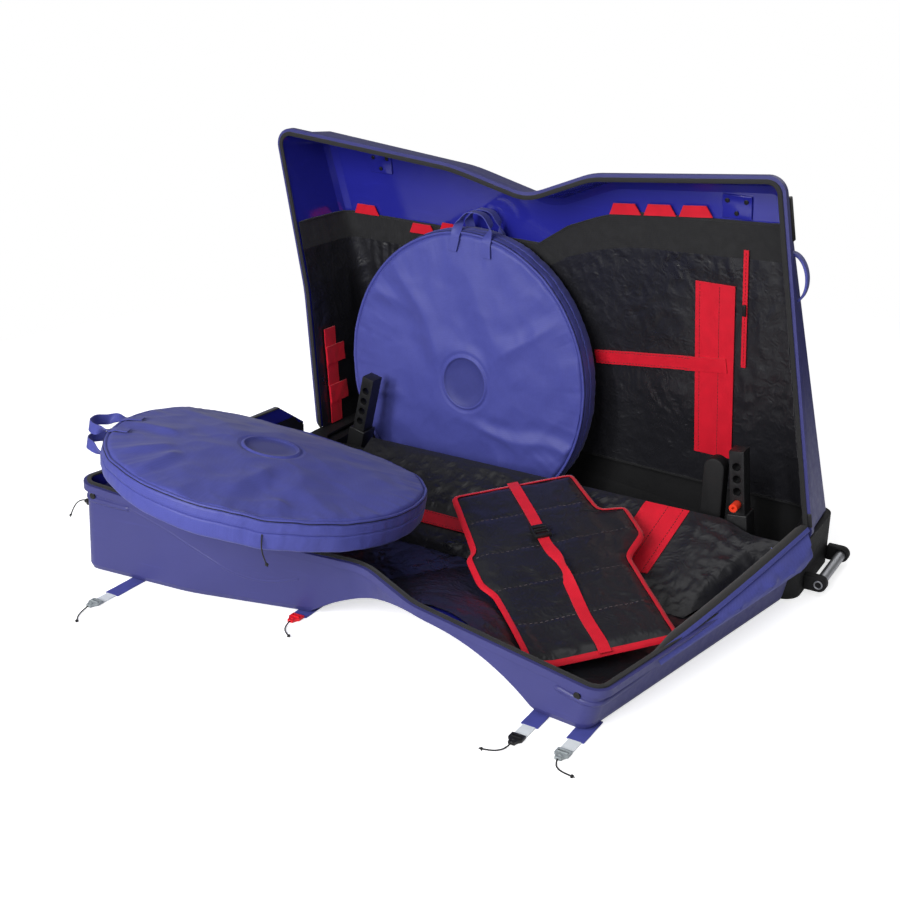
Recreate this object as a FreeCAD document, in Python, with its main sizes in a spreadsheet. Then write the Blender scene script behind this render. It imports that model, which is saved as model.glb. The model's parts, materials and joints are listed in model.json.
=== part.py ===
import FreeCAD, Part
import math
import os
import re

from FreeCAD import Placement, Rotation, Vector

# Two-half bike travel case, standing open: the rear half upright on its base,
# the front half folded down flat on the floor with its outer face under it.
# Millimetres, +X along the case, -Y towards the packing side, +Z up,
# the origin on the floor under the parting plane of the two halves.

doc = FreeCAD.newDocument("BikeTravelCase")
sheet = doc.addObject("Spreadsheet::Sheet", "Sizes")

SIZES = {
    # parting outline, seen from the packing side
    "outline_half": 640.0,
    "outline_bottom_z": 118.0,
    "bend_left_x": 664.0,
    "bend_left_z": 480.0,
    "top_left_x": 733.0,
    "top_left_z": 866.0,
    "shoulder_x": 246.0,
    "shoulder_z": 818.0,
    "waist_x": 51.0,
    "waist_z": 768.0,
    "knee_x": 99.0,
    "knee_z": 827.0,
    "top_right_x": 506.0,
    "top_right_z": 860.0,
    "bend_round": 500.0,
    "corner_round": 30.0,
    "shoulder_round": 420.0,
    "waist_round": 110.0,
    "knee_round": 150.0,
    "foot_round": 12.0,
    # shells
    "shell_wall": 4.0,
    "rear_side_draft": 8.0,
    "rear_top_draft": 12.0,
    "front_back_round": 16.0,
    "front_side_draft": 8.0,
    "front_top_draft": -10.0,
    "front_waist_draft": 20.0,
    "scoop_radius": 480.0,
    "scoop_x": 130.0,
    "scoop_rim_y": 34.0,
    "scoop_rim_z": 812.0,
    "scoop_run_y": 92.0,
    "scoop_run_z": 330.0,
    "back_round": 24.0,
    "rim_gap": 8.0,
    "bead_out": 9.0,
    "bead_deep": 16.0,
    "rear_deep_top_left": 175.0,
    "rear_deep_top_right": 85.0,
    "rear_deep_bottom_right": 185.0,
    # folding line of the front half
    "fold_y": -13.5,
    "fold_z": 152.0,
    "fold_open_turn": 91.47,
    "fold_tilt": 5.6,
    "slant_deep": 64.0,
    "slant_long": 120.0,
    "front_bottom_z": 206.0,
    "front_floor_gap": 3.0,
    # parting tapes and linings
    "tape_out": 2.0,
    "tape_in": 7.5,
    "tape_gap": 0.6,
    "lining": 4.0,
    "lining_gap": 0.3,
    "lining_top_left_z": 655.0,
    "lining_top_dip_z": 640.0,
    "lining_top_dip_x": 95.0,
    "lining_top_rise_x": 60.0,
    "lining_top_rise_z": 740.0,
    "lining_top_right_z": 778.0,
    "front_lining_below_rim": 34.0,
    # base
    "base_front": 55.0,
    "base_flare": 14.0,
    "base_wall": 4.0,
    "base_round": 38.0,
    "base_lip_back": 26.0,
    "base_lip_end": 46.0,
    "base_lip_thick": 5.0,
    "wheel_step_long": 68.0,
    "cut_overrun": 20.0,
    # rolling wheels at the wide end
    "tyre_radius": 40.0,
    "tyre_wide": 30.0,
    "rim_radius": 30.0,
    "bearing_radius": 11.0,
    "bearing_wide": 7.0,
    "axle_radius": 4.0,
    "axle_head_radius": 7.0,
    "axle_head_tall": 4.0,
    "running_gap": 0.05,
    "cheek_gap": 2.0,
    "cheek_wall": 5.0,
    "fork_tall": 78.0,
    "fork_long": 62.0,
    "front_wheel_y": 44.0,
    "rear_wheel_y": 215.0,
    # grab bar at the narrow end
    "bar_radius": 11.0,
    "bar_wall": 2.0,
    "bar_front_y": 4.0,
    "bar_rear_y": 178.0,
    "bar_reach": 32.0,
    "bar_z": 26.0,
    "lug_wide": 20.0,
    "lug_round": 17.0,
    "lug_seat_deep": 14.0,
    # dropout posts
    "post_long": 236.0,
    "post_wide": 32.0,
    "post_deep": 38.0,
    "post_hole_radius": 9.3,
    "post_hole_pitch": 28.0,
    "post_first_hole": 117.0,
    "post_hole_count": 4,
    "post_foot_z": 60.0,
    "sleeve_wall": 6.0,
    "sleeve_long": 150.0,
    "sleeve_gap": 0.35,
    "post_lift": 60.0,
    "left_post_from_end": 104.0,
    "left_post_lean": 13.5,
    "right_post_from_end": 135.0,
    "right_post_lean": -6.0,
    "pin_radius": 9.0,
    "pin_shank_radius": 8.6,
    "pin_bore": 3.0,
    "pin_long": 74.0,
    "pin_out": 26.0,
    "pin_head_long": 24.0,
    "pin_hole_index": 3,
    "keeper_radius": 24.0,
    "keeper_wide": 34.0,
    "keeper_tall": 222.0,
    "keeper_x": 414.0,
    "keeper_y": 40.0,
    # straps and patches sewn to the linings
    "patch_thick": 2.4,
    "patch_gap": 0.3,
    "strip_x": 352.0,
    "strip_z": 402.0,
    "strip_wide": 92.0,
    "strip_tall": 420.0,
    "belt_wide": 34.0,
    "belt_left_x": 50.0,
    "belt_z": 398.0,
    "belt_turn": 7.0,
    "belt_end_long": 102.0,
    "belt_end_shift": 20.0,
    "pocket_zip_x": 419.0,
    "pocket_zip_z": 560.0,
    "pocket_zip_wide": 11.0,
    "pocket_zip_tall": 270.0,
    "slider_wide": 8.0,
    "slider_tall": 26.0,
    "slider_thick": 5.0,
    "loop_wide": 78.0,
    "loop_tall": 25.0,
    "loop_pitch": 84.0,
    "loop_right_x": 132.0,
    "loop_right_z": 748.0,
    "loop_left_x": -604.0,
    "loop_left_z": 659.0,
    "loop_middle_x": -432.0,
    "loop_middle_z": 630.0,
    "loop_inner_x": -341.0,
    "loop_inner_z": 642.0,
    "loop_rise_slope": 5.0,
    "pump_y": 62.0,
    "pump_z": 247.0,
    "pump_wide": 42.0,
    "pump_tall": 250.0,
    "wrap_tall": 46.0,
    "wrap_long": 70.0,
    "wrap_low_z": 200.0,
    "wrap_high_z": 302.0,
    "plate_wide": 66.0,
    "plate_tall": 50.0,
    "plate_thick": 4.0,
    "plate_left_x": -545.0,
    "plate_right_x": 392.0,
    "plate_below_top": 78.0,
    "rivet_radius": 5.0,
    "rivet_tall": 3.0,
    "rivet_inset": 12.0,
    # wheel bags
    "rear_bag_radius": 328.0,
    "front_bag_radius": 342.0,
    "bag_half": 32.0,
    "bag_crown": 24.0,
    "bag_hub_radius": 62.0,
    "rear_bag_x": -255.0,
    "rear_bag_y": 112.0,
    "rear_bag_gap": 0.4,
    "front_bag_x": -370.0,
    "front_bag_y": -532.0,
    "front_bag_z": 245.4,
    "front_bag_tilt_x": -9.0,
    "front_bag_tilt_y": 7.9,
    "grip_radius": 48.0,
    "grip_strap": 3.0,
    "grip_wide": 25.0,
    "grip_gap": 0.3,
    "rear_grip_turn": -4.0,
    "front_grip_turn": 116.0,
    # frame pad on the front half
    "pad_foot_y": -300.0,
    "pad_head_y": 280.0,
    "pad_head_half": 141.0,
    "pad_foot_half": 152.0,
    "pad_wing_right": 210.0,
    "pad_wing_left": 170.0,
    "pad_wing_top": 130.0,
    "pad_wing_low": 20.0,
    "pad_wing_foot": -40.0,
    "pad_thick": 12.0,
    "pad_channel": 3.0,
    "pad_channel_count": 4,
    "pad_x": 207.0,
    "pad_y": -323.0,
    "pad_z": 96.0,
    "pad_turn": 47.0,
    "pad_pitch": 10.8,
    "pad_strap_wide": 30.0,
    "pad_buckle_long": 40.0,
    "pad_buckle_wide": 38.0,
    "pad_buckle_thick": 9.0,
    "apron_near_y": -40.0,
    "apron_near_z": 135.0,
    "apron_far_y": -262.0,
    "apron_far_z": 11.8,
    "apron_thick": 2.4,
    "apron_half": 452.0,
    "front_strip_wide": 76.0,
    "front_strip_long": 150.0,
    "front_strip_x": 354.0,
    "front_strip_down": 78.0,
    "front_belt_wide": 34.0,
    "front_belt_long": 150.0,
    "front_belt_x": -150.0,
    "front_belt_down": 176.0,
    "gusset_thick": 2.0,
    "gusset_front": 64.4,
    "gusset_end_turn": 28.0,
    "gusset_tall": 104.0,
    "gusset_end_tall": 56.0,
    # end handle and end buckle of the rear half
    "handle_radius": 52.0,
    "handle_reach": 32.0,
    "handle_strap": 5.0,
    "handle_wide": 24.0,
    "handle_z": 664.0,
    "handle_y": 42.0,
    "handle_foot": 22.0,
    "end_buckle_tall": 88.0,
    "end_buckle_wide": 26.0,
    "end_buckle_thick": 10.0,
    "end_buckle_z": 778.0,
    # closing straps of the front half
    "tab_thick": 2.0,
    "tab_wide": 34.0,
    "tab_under": 14.0,
    "web_thick": 2.0,
    "web_wide": 25.0,
    "web_long": 36.0,
    "hook_long": 30.0,
    "hook_wide": 27.0,
    "hook_thick": 9.0,
    "hook_eye_radius": 3.0,
    "hook_eye_inset": 8.0,
    "strap_floor": 0.5,
    "strap_gap": 0.4,
    "end_strap_x": -790.0,
    "end_strap_y": -600.0,
    "end_strap_z": 86.0,
    "corner_strap_x": -600.0,
    "corner_strap_y": -786.0,
    "corner_tab_long": 104.0,
    "waist_strap_x": -205.0,
    "waist_strap_y": -652.0,
    "waist_tab_long": 62.0,
    "front_strap_x": 385.0,
    "front_strap_y": -754.0,
    "front_tab_long": 150.0,
    "edge_strap_x": 474.0,
    "edge_strap_y": -752.0,
    "edge_tab_long": 78.0,
    "cord_radius": 1.5,
    "cord_reach": 62.0,
    "bag_cord_reach": 60.0,
    "bag_cord_x": 211.0,
    # parting zip slider
    "zip_slider_long": 30.0,
    "zip_slider_wide": 9.0,
    "zip_slider_thick": 3.6,
    "zip_slider_start_z": 150.0,
    "front_rivet_radius": 7.0,
    "front_rivet_below_rim": 26.0,
    "front_rivet_from_corner": 40.0,
}

for row, (alias, value) in enumerate(SIZES.items(), start=1):
    sheet.set("A%d" % row, alias)
    sheet.set("B%d" % row, repr(value))
    sheet.setAlias("B%d" % row, alias)
doc.recompute()

NODES = []


def size(alias):
    return float(sheet.get(alias))


def formula(text):
    """An expression on the sheet, written with the aliases alone."""
    def sheet_name(found):
        word = found.group(0)
        return "Sizes." + word if word in SIZES else word

    return re.sub(r"[a-z_]+[a-z_0-9]*", sheet_name, text)


def bind(obj, **properties):
    for name, text in properties.items():
        obj.setExpression(name, formula(text))


def at(obj, x="0", y="0", z="0"):
    obj.setExpression("Placement.Base.x", formula(x))
    obj.setExpression("Placement.Base.y", formula(y))
    obj.setExpression("Placement.Base.z", formula(z))
    return obj


def block(name, long, wide, tall, x="0", y="0", z="0"):
    obj = doc.addObject("Part::Box", name)
    bind(obj, Length=long, Width=wide, Height=tall)
    return at(obj, x, y, z)


def rod(name, radius, tall, x="0", y="0", z="0", turn=Rotation()):
    obj = doc.addObject("Part::Cylinder", name)
    bind(obj, Radius=radius, Height=tall)
    obj.Placement = Placement(Vector(), turn)
    return at(obj, x, y, z)


def cut(name, base, tool):
    obj = doc.addObject("Part::Cut", name)
    obj.Base = base
    obj.Tool = tool
    return obj


def fuse(name, pieces):
    obj = doc.addObject("Part::MultiFuse", name)
    obj.Shapes = pieces
    return obj


def group(name, pieces):
    obj = doc.addObject("Part::Compound", name)
    obj.Links = pieces
    return obj


def feature(name, shape):
    obj = doc.addObject("Part::Feature", name)
    obj.Shape = shape
    return obj


def node(obj, label, placement=None):
    """One separate piece of the case, written to its own file."""
    obj.Label = label
    if placement is not None:
        obj.Placement = placement
    NODES.append(obj)
    return obj


ALONG_X = Rotation(Vector(0, 1, 0), 90)
ALONG_Y = Rotation(Vector(1, 0, 0), -90)
half_gap = size("rim_gap") / 2
overrun = size("cut_overrun")
wall = size("shell_wall")


# Outline of the parting plane: points in (x, z), anticlockwise from the bottom left

def outline(bottom_z):
    return [
        (-size("outline_half"), bottom_z),
        (size("outline_half"), bottom_z),
        (size("top_right_x"), size("top_right_z")),
        (size("knee_x"), size("knee_z")),
        (-size("waist_x"), size("waist_z")),
        (-size("shoulder_x"), size("shoulder_z")),
        (-size("top_left_x"), size("top_left_z")),
        (-size("bend_left_x"), size("bend_left_z")),
    ]


ROUNDS = ["foot_round", "foot_round", "corner_round", "knee_round", "waist_round",
          "shoulder_round", "corner_round", "bend_round"]
BOTTOM_EDGE = 0
HOLLOW_CORNERS = (4, 7)


END_EDGES = (1, 6, 7)
WAIST_EDGES = (3, 4)
REAR_DRAFTS = [size("rear_side_draft") if i in END_EDGES else size("rear_top_draft") for i in range(len(ROUNDS))]
FRONT_DRAFTS = []
for i in range(len(ROUNDS)):
    alias = "front_side_draft" if i in END_EDGES else "front_top_draft"
    FRONT_DRAFTS.append(size("front_waist_draft" if i in WAIST_EDGES else alias))


def inset(points, steps):
    """The outline with each edge moved inwards by its own step."""
    count = len(points)
    lines = []
    for i in range(count):
        (x0, z0), (x1, z1) = points[i], points[(i + 1) % count]
        run = math.hypot(x1 - x0, z1 - z0)
        dx, dz = (x1 - x0) / run, (z1 - z0) / run
        lines.append((x0 - dz * steps[i], z0 + dx * steps[i], dx, dz))
    moved = []
    for i in range(count):
        ax, az, adx, adz = lines[i - 1]
        bx, bz, bdx, bdz = lines[i]
        cross = adx * bdz - adz * bdx
        t = ((bx - ax) * bdz - (bz - az) * bdx) / cross
        moved.append((ax + adx * t, az + adz * t))
    return moved


def rounded_wire(points, rounds, lift):
    """A closed wire of straight runs and corner arcs; lift gives the point in space."""
    count = len(points)
    corners = []
    for i in range(count):
        p, q, r = points[i - 1], points[i], points[(i + 1) % count]
        a = Vector(p[0] - q[0], p[1] - q[1], 0)
        b = Vector(r[0] - q[0], r[1] - q[1], 0)
        half_turn = a.getAngle(b) / 2
        reach = rounds[i] / math.tan(half_turn)
        a.normalize()
        b.normalize()
        middle = a + b
        middle.normalize()
        depth = rounds[i] / math.sin(half_turn) - rounds[i]
        start = (q[0] + a.x * reach, q[1] + a.y * reach)
        end = (q[0] + b.x * reach, q[1] + b.y * reach)
        crest = (q[0] + middle.x * depth, q[1] + middle.y * depth)
        corners.append((start, crest, end))
    edges = []
    for i in range(count):
        start, crest, end = [lift(*p) for p in corners[i]]
        edges.append(Part.Arc(start, crest, end).toShape())
        following = lift(*corners[(i + 1) % count][0])
        edges.append(Part.LineSegment(end, following).toShape())
    return Part.Wire(edges)


def ring_rounds(step):
    """Corner radii of the outline moved inwards by step: hollow corners grow, the rest shrink."""
    least = size("foot_round") / 2
    radii = []
    for i, alias in enumerate(ROUNDS):
        grown = size(alias) + step if i in HOLLOW_CORNERS else size(alias) - step
        radii.append(max(grown, least))
    return radii


def edge_steps(drafts, step, bottom_step):
    steps = [draft + step for draft in drafts]
    steps[BOTTOM_EDGE] = bottom_step
    return steps


def section(bottom_z, step, bottom_step, lift):
    steps = edge_steps([0] * len(ROUNDS), step, bottom_step)
    return rounded_wire(inset(outline(bottom_z), steps), ring_rounds(step), lift)


# Depth of each half at a place of the outline

def rear_depth(x, z):
    slope_x = (size("rear_deep_top_right") - size("rear_deep_top_left"))
    slope_x /= size("top_right_x") + size("top_left_x")
    down = size("top_right_z") - size("outline_bottom_z")
    out = size("outline_half") - size("top_right_x")
    slope_z = (size("rear_deep_top_right") + slope_x * out - size("rear_deep_bottom_right")) / down
    return size("rear_deep_top_right") + slope_x * (x - size("top_right_x")) + slope_z * (z - size("top_right_z"))


fold_point = Vector(0, size("fold_y"), size("fold_z"))
fold_turn = Rotation(Vector(0, 1, 0), size("fold_tilt")) * Rotation(Vector(1, 0, 0), size("fold_open_turn"))
FRONT_OPEN = Placement(fold_point - fold_turn.multVec(fold_point), fold_turn)


def front_depth(x, z):
    """Depth at which the folded-down half lies flat just above the floor."""
    up = fold_turn.inverted().multVec(Vector(0, 0, 1))
    rest = size("front_floor_gap") - size("fold_z")
    y = size("fold_y") + (rest - up.x * x - up.z * (z - size("fold_z"))) / up.y
    return -y


def half_solid(bottom_z, depth, drafts, step, bottom_step, lead):
    """The filled form of one half, moved inwards by step and led straight on past its rim by lead."""
    side = 1 if drafts is REAR_DRAFTS else -1
    bend = size("back_round") if side > 0 else size("front_back_round")
    wires = []
    if lead:
        wires.append(section(bottom_z, step, bottom_step, lambda x, z: Vector(x, side * (half_gap - lead), z)))
    wires.append(section(bottom_z, step, bottom_step, lambda x, z: Vector(x, side * half_gap, z)))
    for turn in (0, 45, 90):
        sink = bend * (1 - math.sin(math.radians(turn))) + step
        creep = bend * (1 - math.cos(math.radians(turn)))
        steps = edge_steps(drafts, creep + step, bottom_step)
        points = inset(outline(bottom_z), steps)
        wires.append(rounded_wire(points, ring_rounds(min(creep + step, size("corner_round") / 2)),
                                  lambda x, z: Vector(x, side * (depth(x, z) - sink), z)))
    form = Part.makeLoft(wires, True, True)
    return form if side > 0 else form.cut(scoop(step))


def scoop(step):
    """The hollow across the outer face of the front half, below its waist."""
    slope = Vector(0, -size("scoop_run_y"), -size("scoop_run_z"))
    outward = Vector(0, -size("scoop_run_z"), size("scoop_run_y"))
    outward.normalize()
    radius = size("scoop_radius")
    on_face = Vector(size("scoop_x"), -size("scoop_rim_y"), size("scoop_rim_z"))
    slope.normalize()
    start = on_face + outward * radius - slope * radius
    return Part.makeCylinder(radius + step, 4 * radius, start, slope)


def outline_band(bottom_z, out, into, y0, y1):
    """A flat band that follows the parting outline, open along the bottom."""
    outer = Part.Face(section(bottom_z, -out, 0, lambda x, z: Vector(x, y0, z)))
    inner = Part.Face(section(bottom_z, into, -overrun, lambda x, z: Vector(x, y0, z)))
    reach = Vector(0, y1 - y0, 0)
    return outer.extrude(reach).cut(inner.extrude(reach))


def half_shell(bottom_z, depth, drafts):
    side = 1 if drafts is REAR_DRAFTS else -1
    outer = half_solid(bottom_z, depth, drafts, 0, 0, 0)
    inner = half_solid(bottom_z, depth, drafts, wall, -overrun, overrun)
    bead = outline_band(bottom_z, size("bead_out"), wall / 2, side * half_gap, side * (half_gap + size("bead_deep")))
    return outer.cut(inner).fuse(bead).removeSplitter()


def half_lining(bottom_z, depth, drafts, below_rim):
    """A lining that follows the shell, its edge held below the rim."""
    side = 1 if drafts is REAR_DRAFTS else -1
    step = wall + size("lining_gap")
    outer = half_solid(bottom_z, depth, drafts, step, size("lining_gap"), 0)
    inner = half_solid(bottom_z, depth, drafts, step + size("lining"), -overrun, overrun)
    reach = 4 * size("outline_half")
    spare = Part.makeBox(reach, reach, reach, Vector(-reach / 2, -reach / 2, -reach / 2))
    spare.translate(Vector(0, side * (half_gap + below_rim - reach / 2), 0))
    return outer.cut(inner).cut(spare)


rear_bottom = size("outline_bottom_z")
front_bottom = size("front_bottom_z")

# Slanted end of the front half's wide wall, where it meets the fold
slant_in = -half_gap - size("slant_deep")
slant = Part.Face(Part.makePolygon([
    Vector(-2 * size("outline_half"), overrun, front_bottom - overrun),
    Vector(-2 * size("outline_half"), slant_in, front_bottom - overrun),
    Vector(-2 * size("outline_half"), slant_in, front_bottom),
    Vector(-2 * size("outline_half"), overrun, front_bottom + size("slant_long")),
    Vector(-2 * size("outline_half"), overrun, front_bottom - overrun),
])).extrude(Vector(3 * size("outline_half") / 2, 0, 0))

node(feature("RearShell", half_shell(rear_bottom, rear_depth, REAR_DRAFTS)), "rear_shell")
front_shell = half_shell(front_bottom, front_depth, FRONT_DRAFTS).cut(slant)
node(feature("FrontShell", front_shell), "front_shell", FRONT_OPEN)

# Parting tapes, one on each rim
tape_near = size("tape_gap") / 2
for label, bottom_z, side, placement in (("rear_zip_tape", rear_bottom, 1, None),
                                         ("front_zip_tape", front_bottom, -1, FRONT_OPEN)):
    band = outline_band(bottom_z, size("tape_out"), size("tape_in"), side * tape_near, side * half_gap)
    node(feature(label, band.cut(slant) if side < 0 else band), label, placement)

# Rear lining, trimmed along its top edge
rear_lining = half_lining(rear_bottom, rear_depth, REAR_DRAFTS, size("bead_deep"))
far = 3 * size("outline_half") / 2
high = size("top_left_z") + overrun
top_edge = [
    (-far, size("lining_top_left_z")),
    (-size("lining_top_dip_x"), size("lining_top_dip_z")),
    (size("lining_top_rise_x"), size("lining_top_rise_z")),
    (far, size("lining_top_right_z")),
    (far, high),
    (-far, high),
]
trim = Part.Face(Part.makePolygon([Vector(x, -overrun, z) for x, z in top_edge + top_edge[:1]]))
trim = trim.extrude(Vector(0, size("rear_deep_bottom_right") * 2, 0))
node(feature("RearLining", rear_lining.cut(trim)), "rear_liner")
front_lining = half_lining(front_bottom, front_depth, FRONT_DRAFTS, size("front_lining_below_rim"))
node(feature("FrontLining", front_lining.cut(slant)), "front_liner", FRONT_OPEN)


# Places on the inner face of each lining

def lining_place(depth, side, x, z, turn, placement=None):
    """Seat of a patch: its own X along the case, Y up the lining, Z towards the inside."""
    step = size("back_round") / 2
    lift = wall + size("lining_gap") + size("lining") + size("patch_gap")
    here = Vector(x, side * depth(x, z), z)
    along = Vector(x + step, side * depth(x + step, z), z) - here
    upward = Vector(x, side * depth(x, z + step), z + step) - here
    inward = along.cross(upward)
    if inward.y * side > 0:
        inward = -inward
    inward.normalize()
    along.normalize()
    frame = Rotation(along, inward.cross(along), inward, "ZXY")
    seat = Placement(here + inward * lift, frame * Rotation(Vector(0, 0, 1), turn))
    return seat if placement is None else placement * seat


def patch(name, wide, tall, thick, seat):
    """A flat patch centred on its seat."""
    flat = Part.makeBox(size(wide), size(tall), size(thick), Vector(-size(wide) / 2, -size(tall) / 2, 0))
    flat.Placement = seat
    return feature(name, flat)


node(patch("RearStrip", "strip_wide", "strip_tall", "patch_thick",
           lining_place(rear_depth, 1, size("strip_x"), size("strip_z"), 0)), "rear_hook_strip")

belt_lean = math.radians(size("belt_turn"))
belt_corner = size("belt_wide") / 2 * math.sin(belt_lean)
belt_end_x = size("strip_x") - size("strip_wide") / 2 - size("patch_gap") - belt_corner
belt_long = belt_end_x - size("belt_left_x")
belt_middle_x = belt_end_x - belt_long / 2
belt = Part.makeBox(belt_long, size("belt_wide"), size("patch_thick"),
                    Vector(-belt_long / 2, -size("belt_wide") / 2, 0))
belt.Placement = lining_place(rear_depth, 1, belt_middle_x, size("belt_z"), size("belt_turn"))
belt_end = Part.makeBox(size("belt_end_long"), size("belt_wide"), size("patch_thick"),
                        Vector(-size("belt_end_long") / 2, -size("belt_wide") / 2,
                               size("patch_thick") + size("patch_gap")))
tab_x = size("strip_x") - size("belt_end_shift")
tab_z = size("belt_z") + (tab_x - belt_middle_x) * math.tan(belt_lean)
belt_end.Placement = lining_place(rear_depth, 1, tab_x, tab_z, size("belt_turn"))
node(feature("RearBelt", Part.makeCompound([belt, belt_end])), "rear_belt")

node(patch("PocketZip", "pocket_zip_wide", "pocket_zip_tall", "patch_thick",
           lining_place(rear_depth, 1, size("pocket_zip_x"), size("pocket_zip_z"), 0)), "pocket_zip")

zip_seat = lining_place(rear_depth, 1, size("pocket_zip_x"), size("pocket_zip_z"), 0)
slider_seat = zip_seat * Placement(Vector(0, 0, size("patch_thick") + size("patch_gap")), Rotation())
node(patch("PocketZipSlider", "slider_wide", "slider_tall", "slider_thick", slider_seat), "pocket_zip_slider")


def trapezoid_loop(x, z, turn):
    """A webbing loop sewn along its wide edge."""
    wide, tall = size("loop_wide"), size("loop_tall")
    corners = [(-wide / 2, -tall / 2), (wide / 2, -tall / 2), (wide / 2 - tall / 2, tall / 2),
               (-wide / 2 + tall / 2, tall / 2)]
    face = Part.Face(Part.makePolygon([Vector(u, v, 0) for u, v in corners + corners[:1]]))
    loop = face.extrude(Vector(0, 0, size("patch_thick")))
    loop.Placement = lining_place(rear_depth, 1, x, z, turn)
    return loop


loops = []
for i in range(3):
    step_up = math.tan(math.radians(size("loop_rise_slope"))) * size("loop_pitch") * i
    loops.append(trapezoid_loop(size("loop_right_x") + i * size("loop_pitch"), size("loop_right_z") + step_up,
                                size("loop_rise_slope")))
for place in ("left", "middle", "inner"):
    loops.append(trapezoid_loop(size("loop_%s_x" % place), size("loop_%s_z" % place), 0))
node(feature("RearLoops", Part.makeCompound(loops)), "rear_webbing_loops")

# Pump strap on the lining of the wide end wall, with its two wraps
wide_end_run = (size("bend_left_x") - size("outline_half")) / (size("bend_left_z") - rear_bottom)


def wide_end_place(y, z):
    """A seat on the lining of the wide end wall: X to the back, Y up, Z to the inside."""
    run = rear_depth(-size("outline_half"), z) - half_gap - size("back_round")
    share = (y - half_gap) / run
    skin = wall + size("lining_gap") + size("lining") + 2 * size("patch_gap")
    x = -size("outline_half") - wide_end_run * (z - rear_bottom) + size("rear_side_draft") * share + skin
    upward = Vector(-wide_end_run, 0, 1)
    backward = Vector(size("rear_side_draft") / run, 1, 0)
    inward = backward.cross(upward)
    return Placement(Vector(x, y, z), Rotation(backward, upward, inward, "ZXY"))


pump = Part.makeBox(size("pump_wide"), size("pump_tall"), size("patch_thick"),
                    Vector(-size("pump_wide") / 2, -size("pump_tall") / 2, 0))
pump.Placement = wide_end_place(size("pump_y"), size("pump_z"))
wraps = []
for alias in ("wrap_low_z", "wrap_high_z"):
    wrap = Part.makeBox(size("wrap_long"), size("wrap_tall"), size("patch_thick"),
                        Vector(-size("pump_wide") / 2, -size("wrap_tall") / 2, size("patch_thick") + size("patch_gap")))
    wrap.Placement = wide_end_place(size("pump_y"), size(alias))
    wraps.append(wrap)
node(feature("PumpStrap", Part.makeCompound([pump] + wraps)), "pump_strap")

# Anchor plates on the bare inner wall above the lining, and their rivets
plates = []
rivets = []
for alias in ("plate_left_x", "plate_right_x"):
    top_z = size("top_right_z") - size("plate_below_top")
    lift = size("lining_gap") - size("lining") - size("patch_gap")
    seat = lining_place(rear_depth, 1, size(alias), top_z, 0) * Placement(Vector(0, 0, lift), Rotation())
    half_wide, half_tall = size("plate_wide") / 2, size("plate_tall") / 2
    plate = Part.makeBox(size("plate_wide"), size("plate_tall"), size("plate_thick"),
                         Vector(-half_wide, -half_tall, 0))
    plate.Placement = seat
    plates.append(plate)
    across = half_wide - size("rivet_inset")
    upward = half_tall - size("rivet_inset")
    for u, v in ((-across, upward), (across, upward), (0, -upward)):
        rivet = Part.makeCylinder(size("rivet_radius"), size("rivet_tall"), Vector(u, v, size("plate_thick")))
        rivet.Placement = seat
        rivets.append(rivet)
node(feature("AnchorPlates", Part.makeCompound(plates)), "anchor_plates")
node(feature("PlateRivets", Part.makeCompound(rivets)), "anchor_rivets")

# Apron of fabric that slopes from the folding line to the floor of the front half, and its patches
apron_near = Vector(0, size("apron_near_y"), size("apron_near_z"))
apron_far = Vector(0, size("apron_far_y"), size("apron_far_z"))
apron_down = apron_far - apron_near
apron_run = apron_down.Length
apron_frame = Rotation(Vector(1, 0, 0), -apron_down, Vector(), "XYZ")
APRON = Placement(apron_near, apron_frame)
apron = Part.makeBox(2 * size("apron_half"), apron_run, size("apron_thick"),
                     Vector(-size("apron_half"), -apron_run, 0))
node(feature("Apron", apron), "fold_apron", APRON)


def apron_patch(name, x, down, wide, long):
    lift = size("apron_thick") + size("patch_gap")
    flat = Part.makeBox(size(wide), size(long), size("patch_thick"),
                        Vector(size(x) - size(wide) / 2, -size(down) - size(long) / 2, lift))
    return feature(name, flat)


node(apron_patch("FrontStrip", "front_strip_x", "front_strip_down", "front_strip_wide", "front_strip_long"),
     "front_hook_strip", APRON)
node(apron_patch("FrontBelt", "front_belt_x", "front_belt_down", "front_belt_long", "front_belt_wide"),
     "front_belt", APRON)


# Base tub under the rear half, wider at the rolling end

def base_plan(front, ends, back, z):
    """Plan of the tub, each side moved inwards by its own step."""
    left = -size("outline_half") + ends
    right = size("outline_half") - ends
    near = -size("base_front") + front
    back_left = rear_depth(left, rear_bottom) + size("base_flare") - back
    back_right = rear_depth(right, rear_bottom) + size("base_flare") - back
    corners = [(left, near), (right, near), (right, back_right), (left, back_left)]
    rounds = [size("base_round")] * len(corners)
    return Part.Face(rounded_wire(corners, rounds, lambda x, y: Vector(x, y, z)))


thin = size("base_wall")
base_floor_z = thin
step_x = -size("outline_half") + size("wheel_step_long")
step_z = size("tyre_radius") - size("fork_long") / 4 + size("fork_tall")
reach = 2 * size("outline_half")
tub = base_plan(0, 0, 0, 0).extrude(Vector(0, 0, rear_bottom))
tub = tub.cut(Part.makeBox(reach, 2 * reach, reach, Vector(step_x - reach, -reach, step_z - reach)))
hollow_tall = rear_bottom - base_floor_z - size("base_lip_thick")
hollow = base_plan(thin, thin, thin, base_floor_z).extrude(Vector(0, 0, hollow_tall))
step_corner = Vector(step_x + thin - reach, -reach, step_z + thin - reach)
hollow = hollow.cut(Part.makeBox(reach, 2 * reach, reach, step_corner))
mouth = base_plan(thin, size("base_lip_end"), size("base_lip_back"), base_floor_z + step_z)
mouth = mouth.extrude(Vector(0, 0, rear_bottom))
node(feature("BaseTub", tub.cut(hollow).cut(mouth)), "base_tub")

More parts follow.
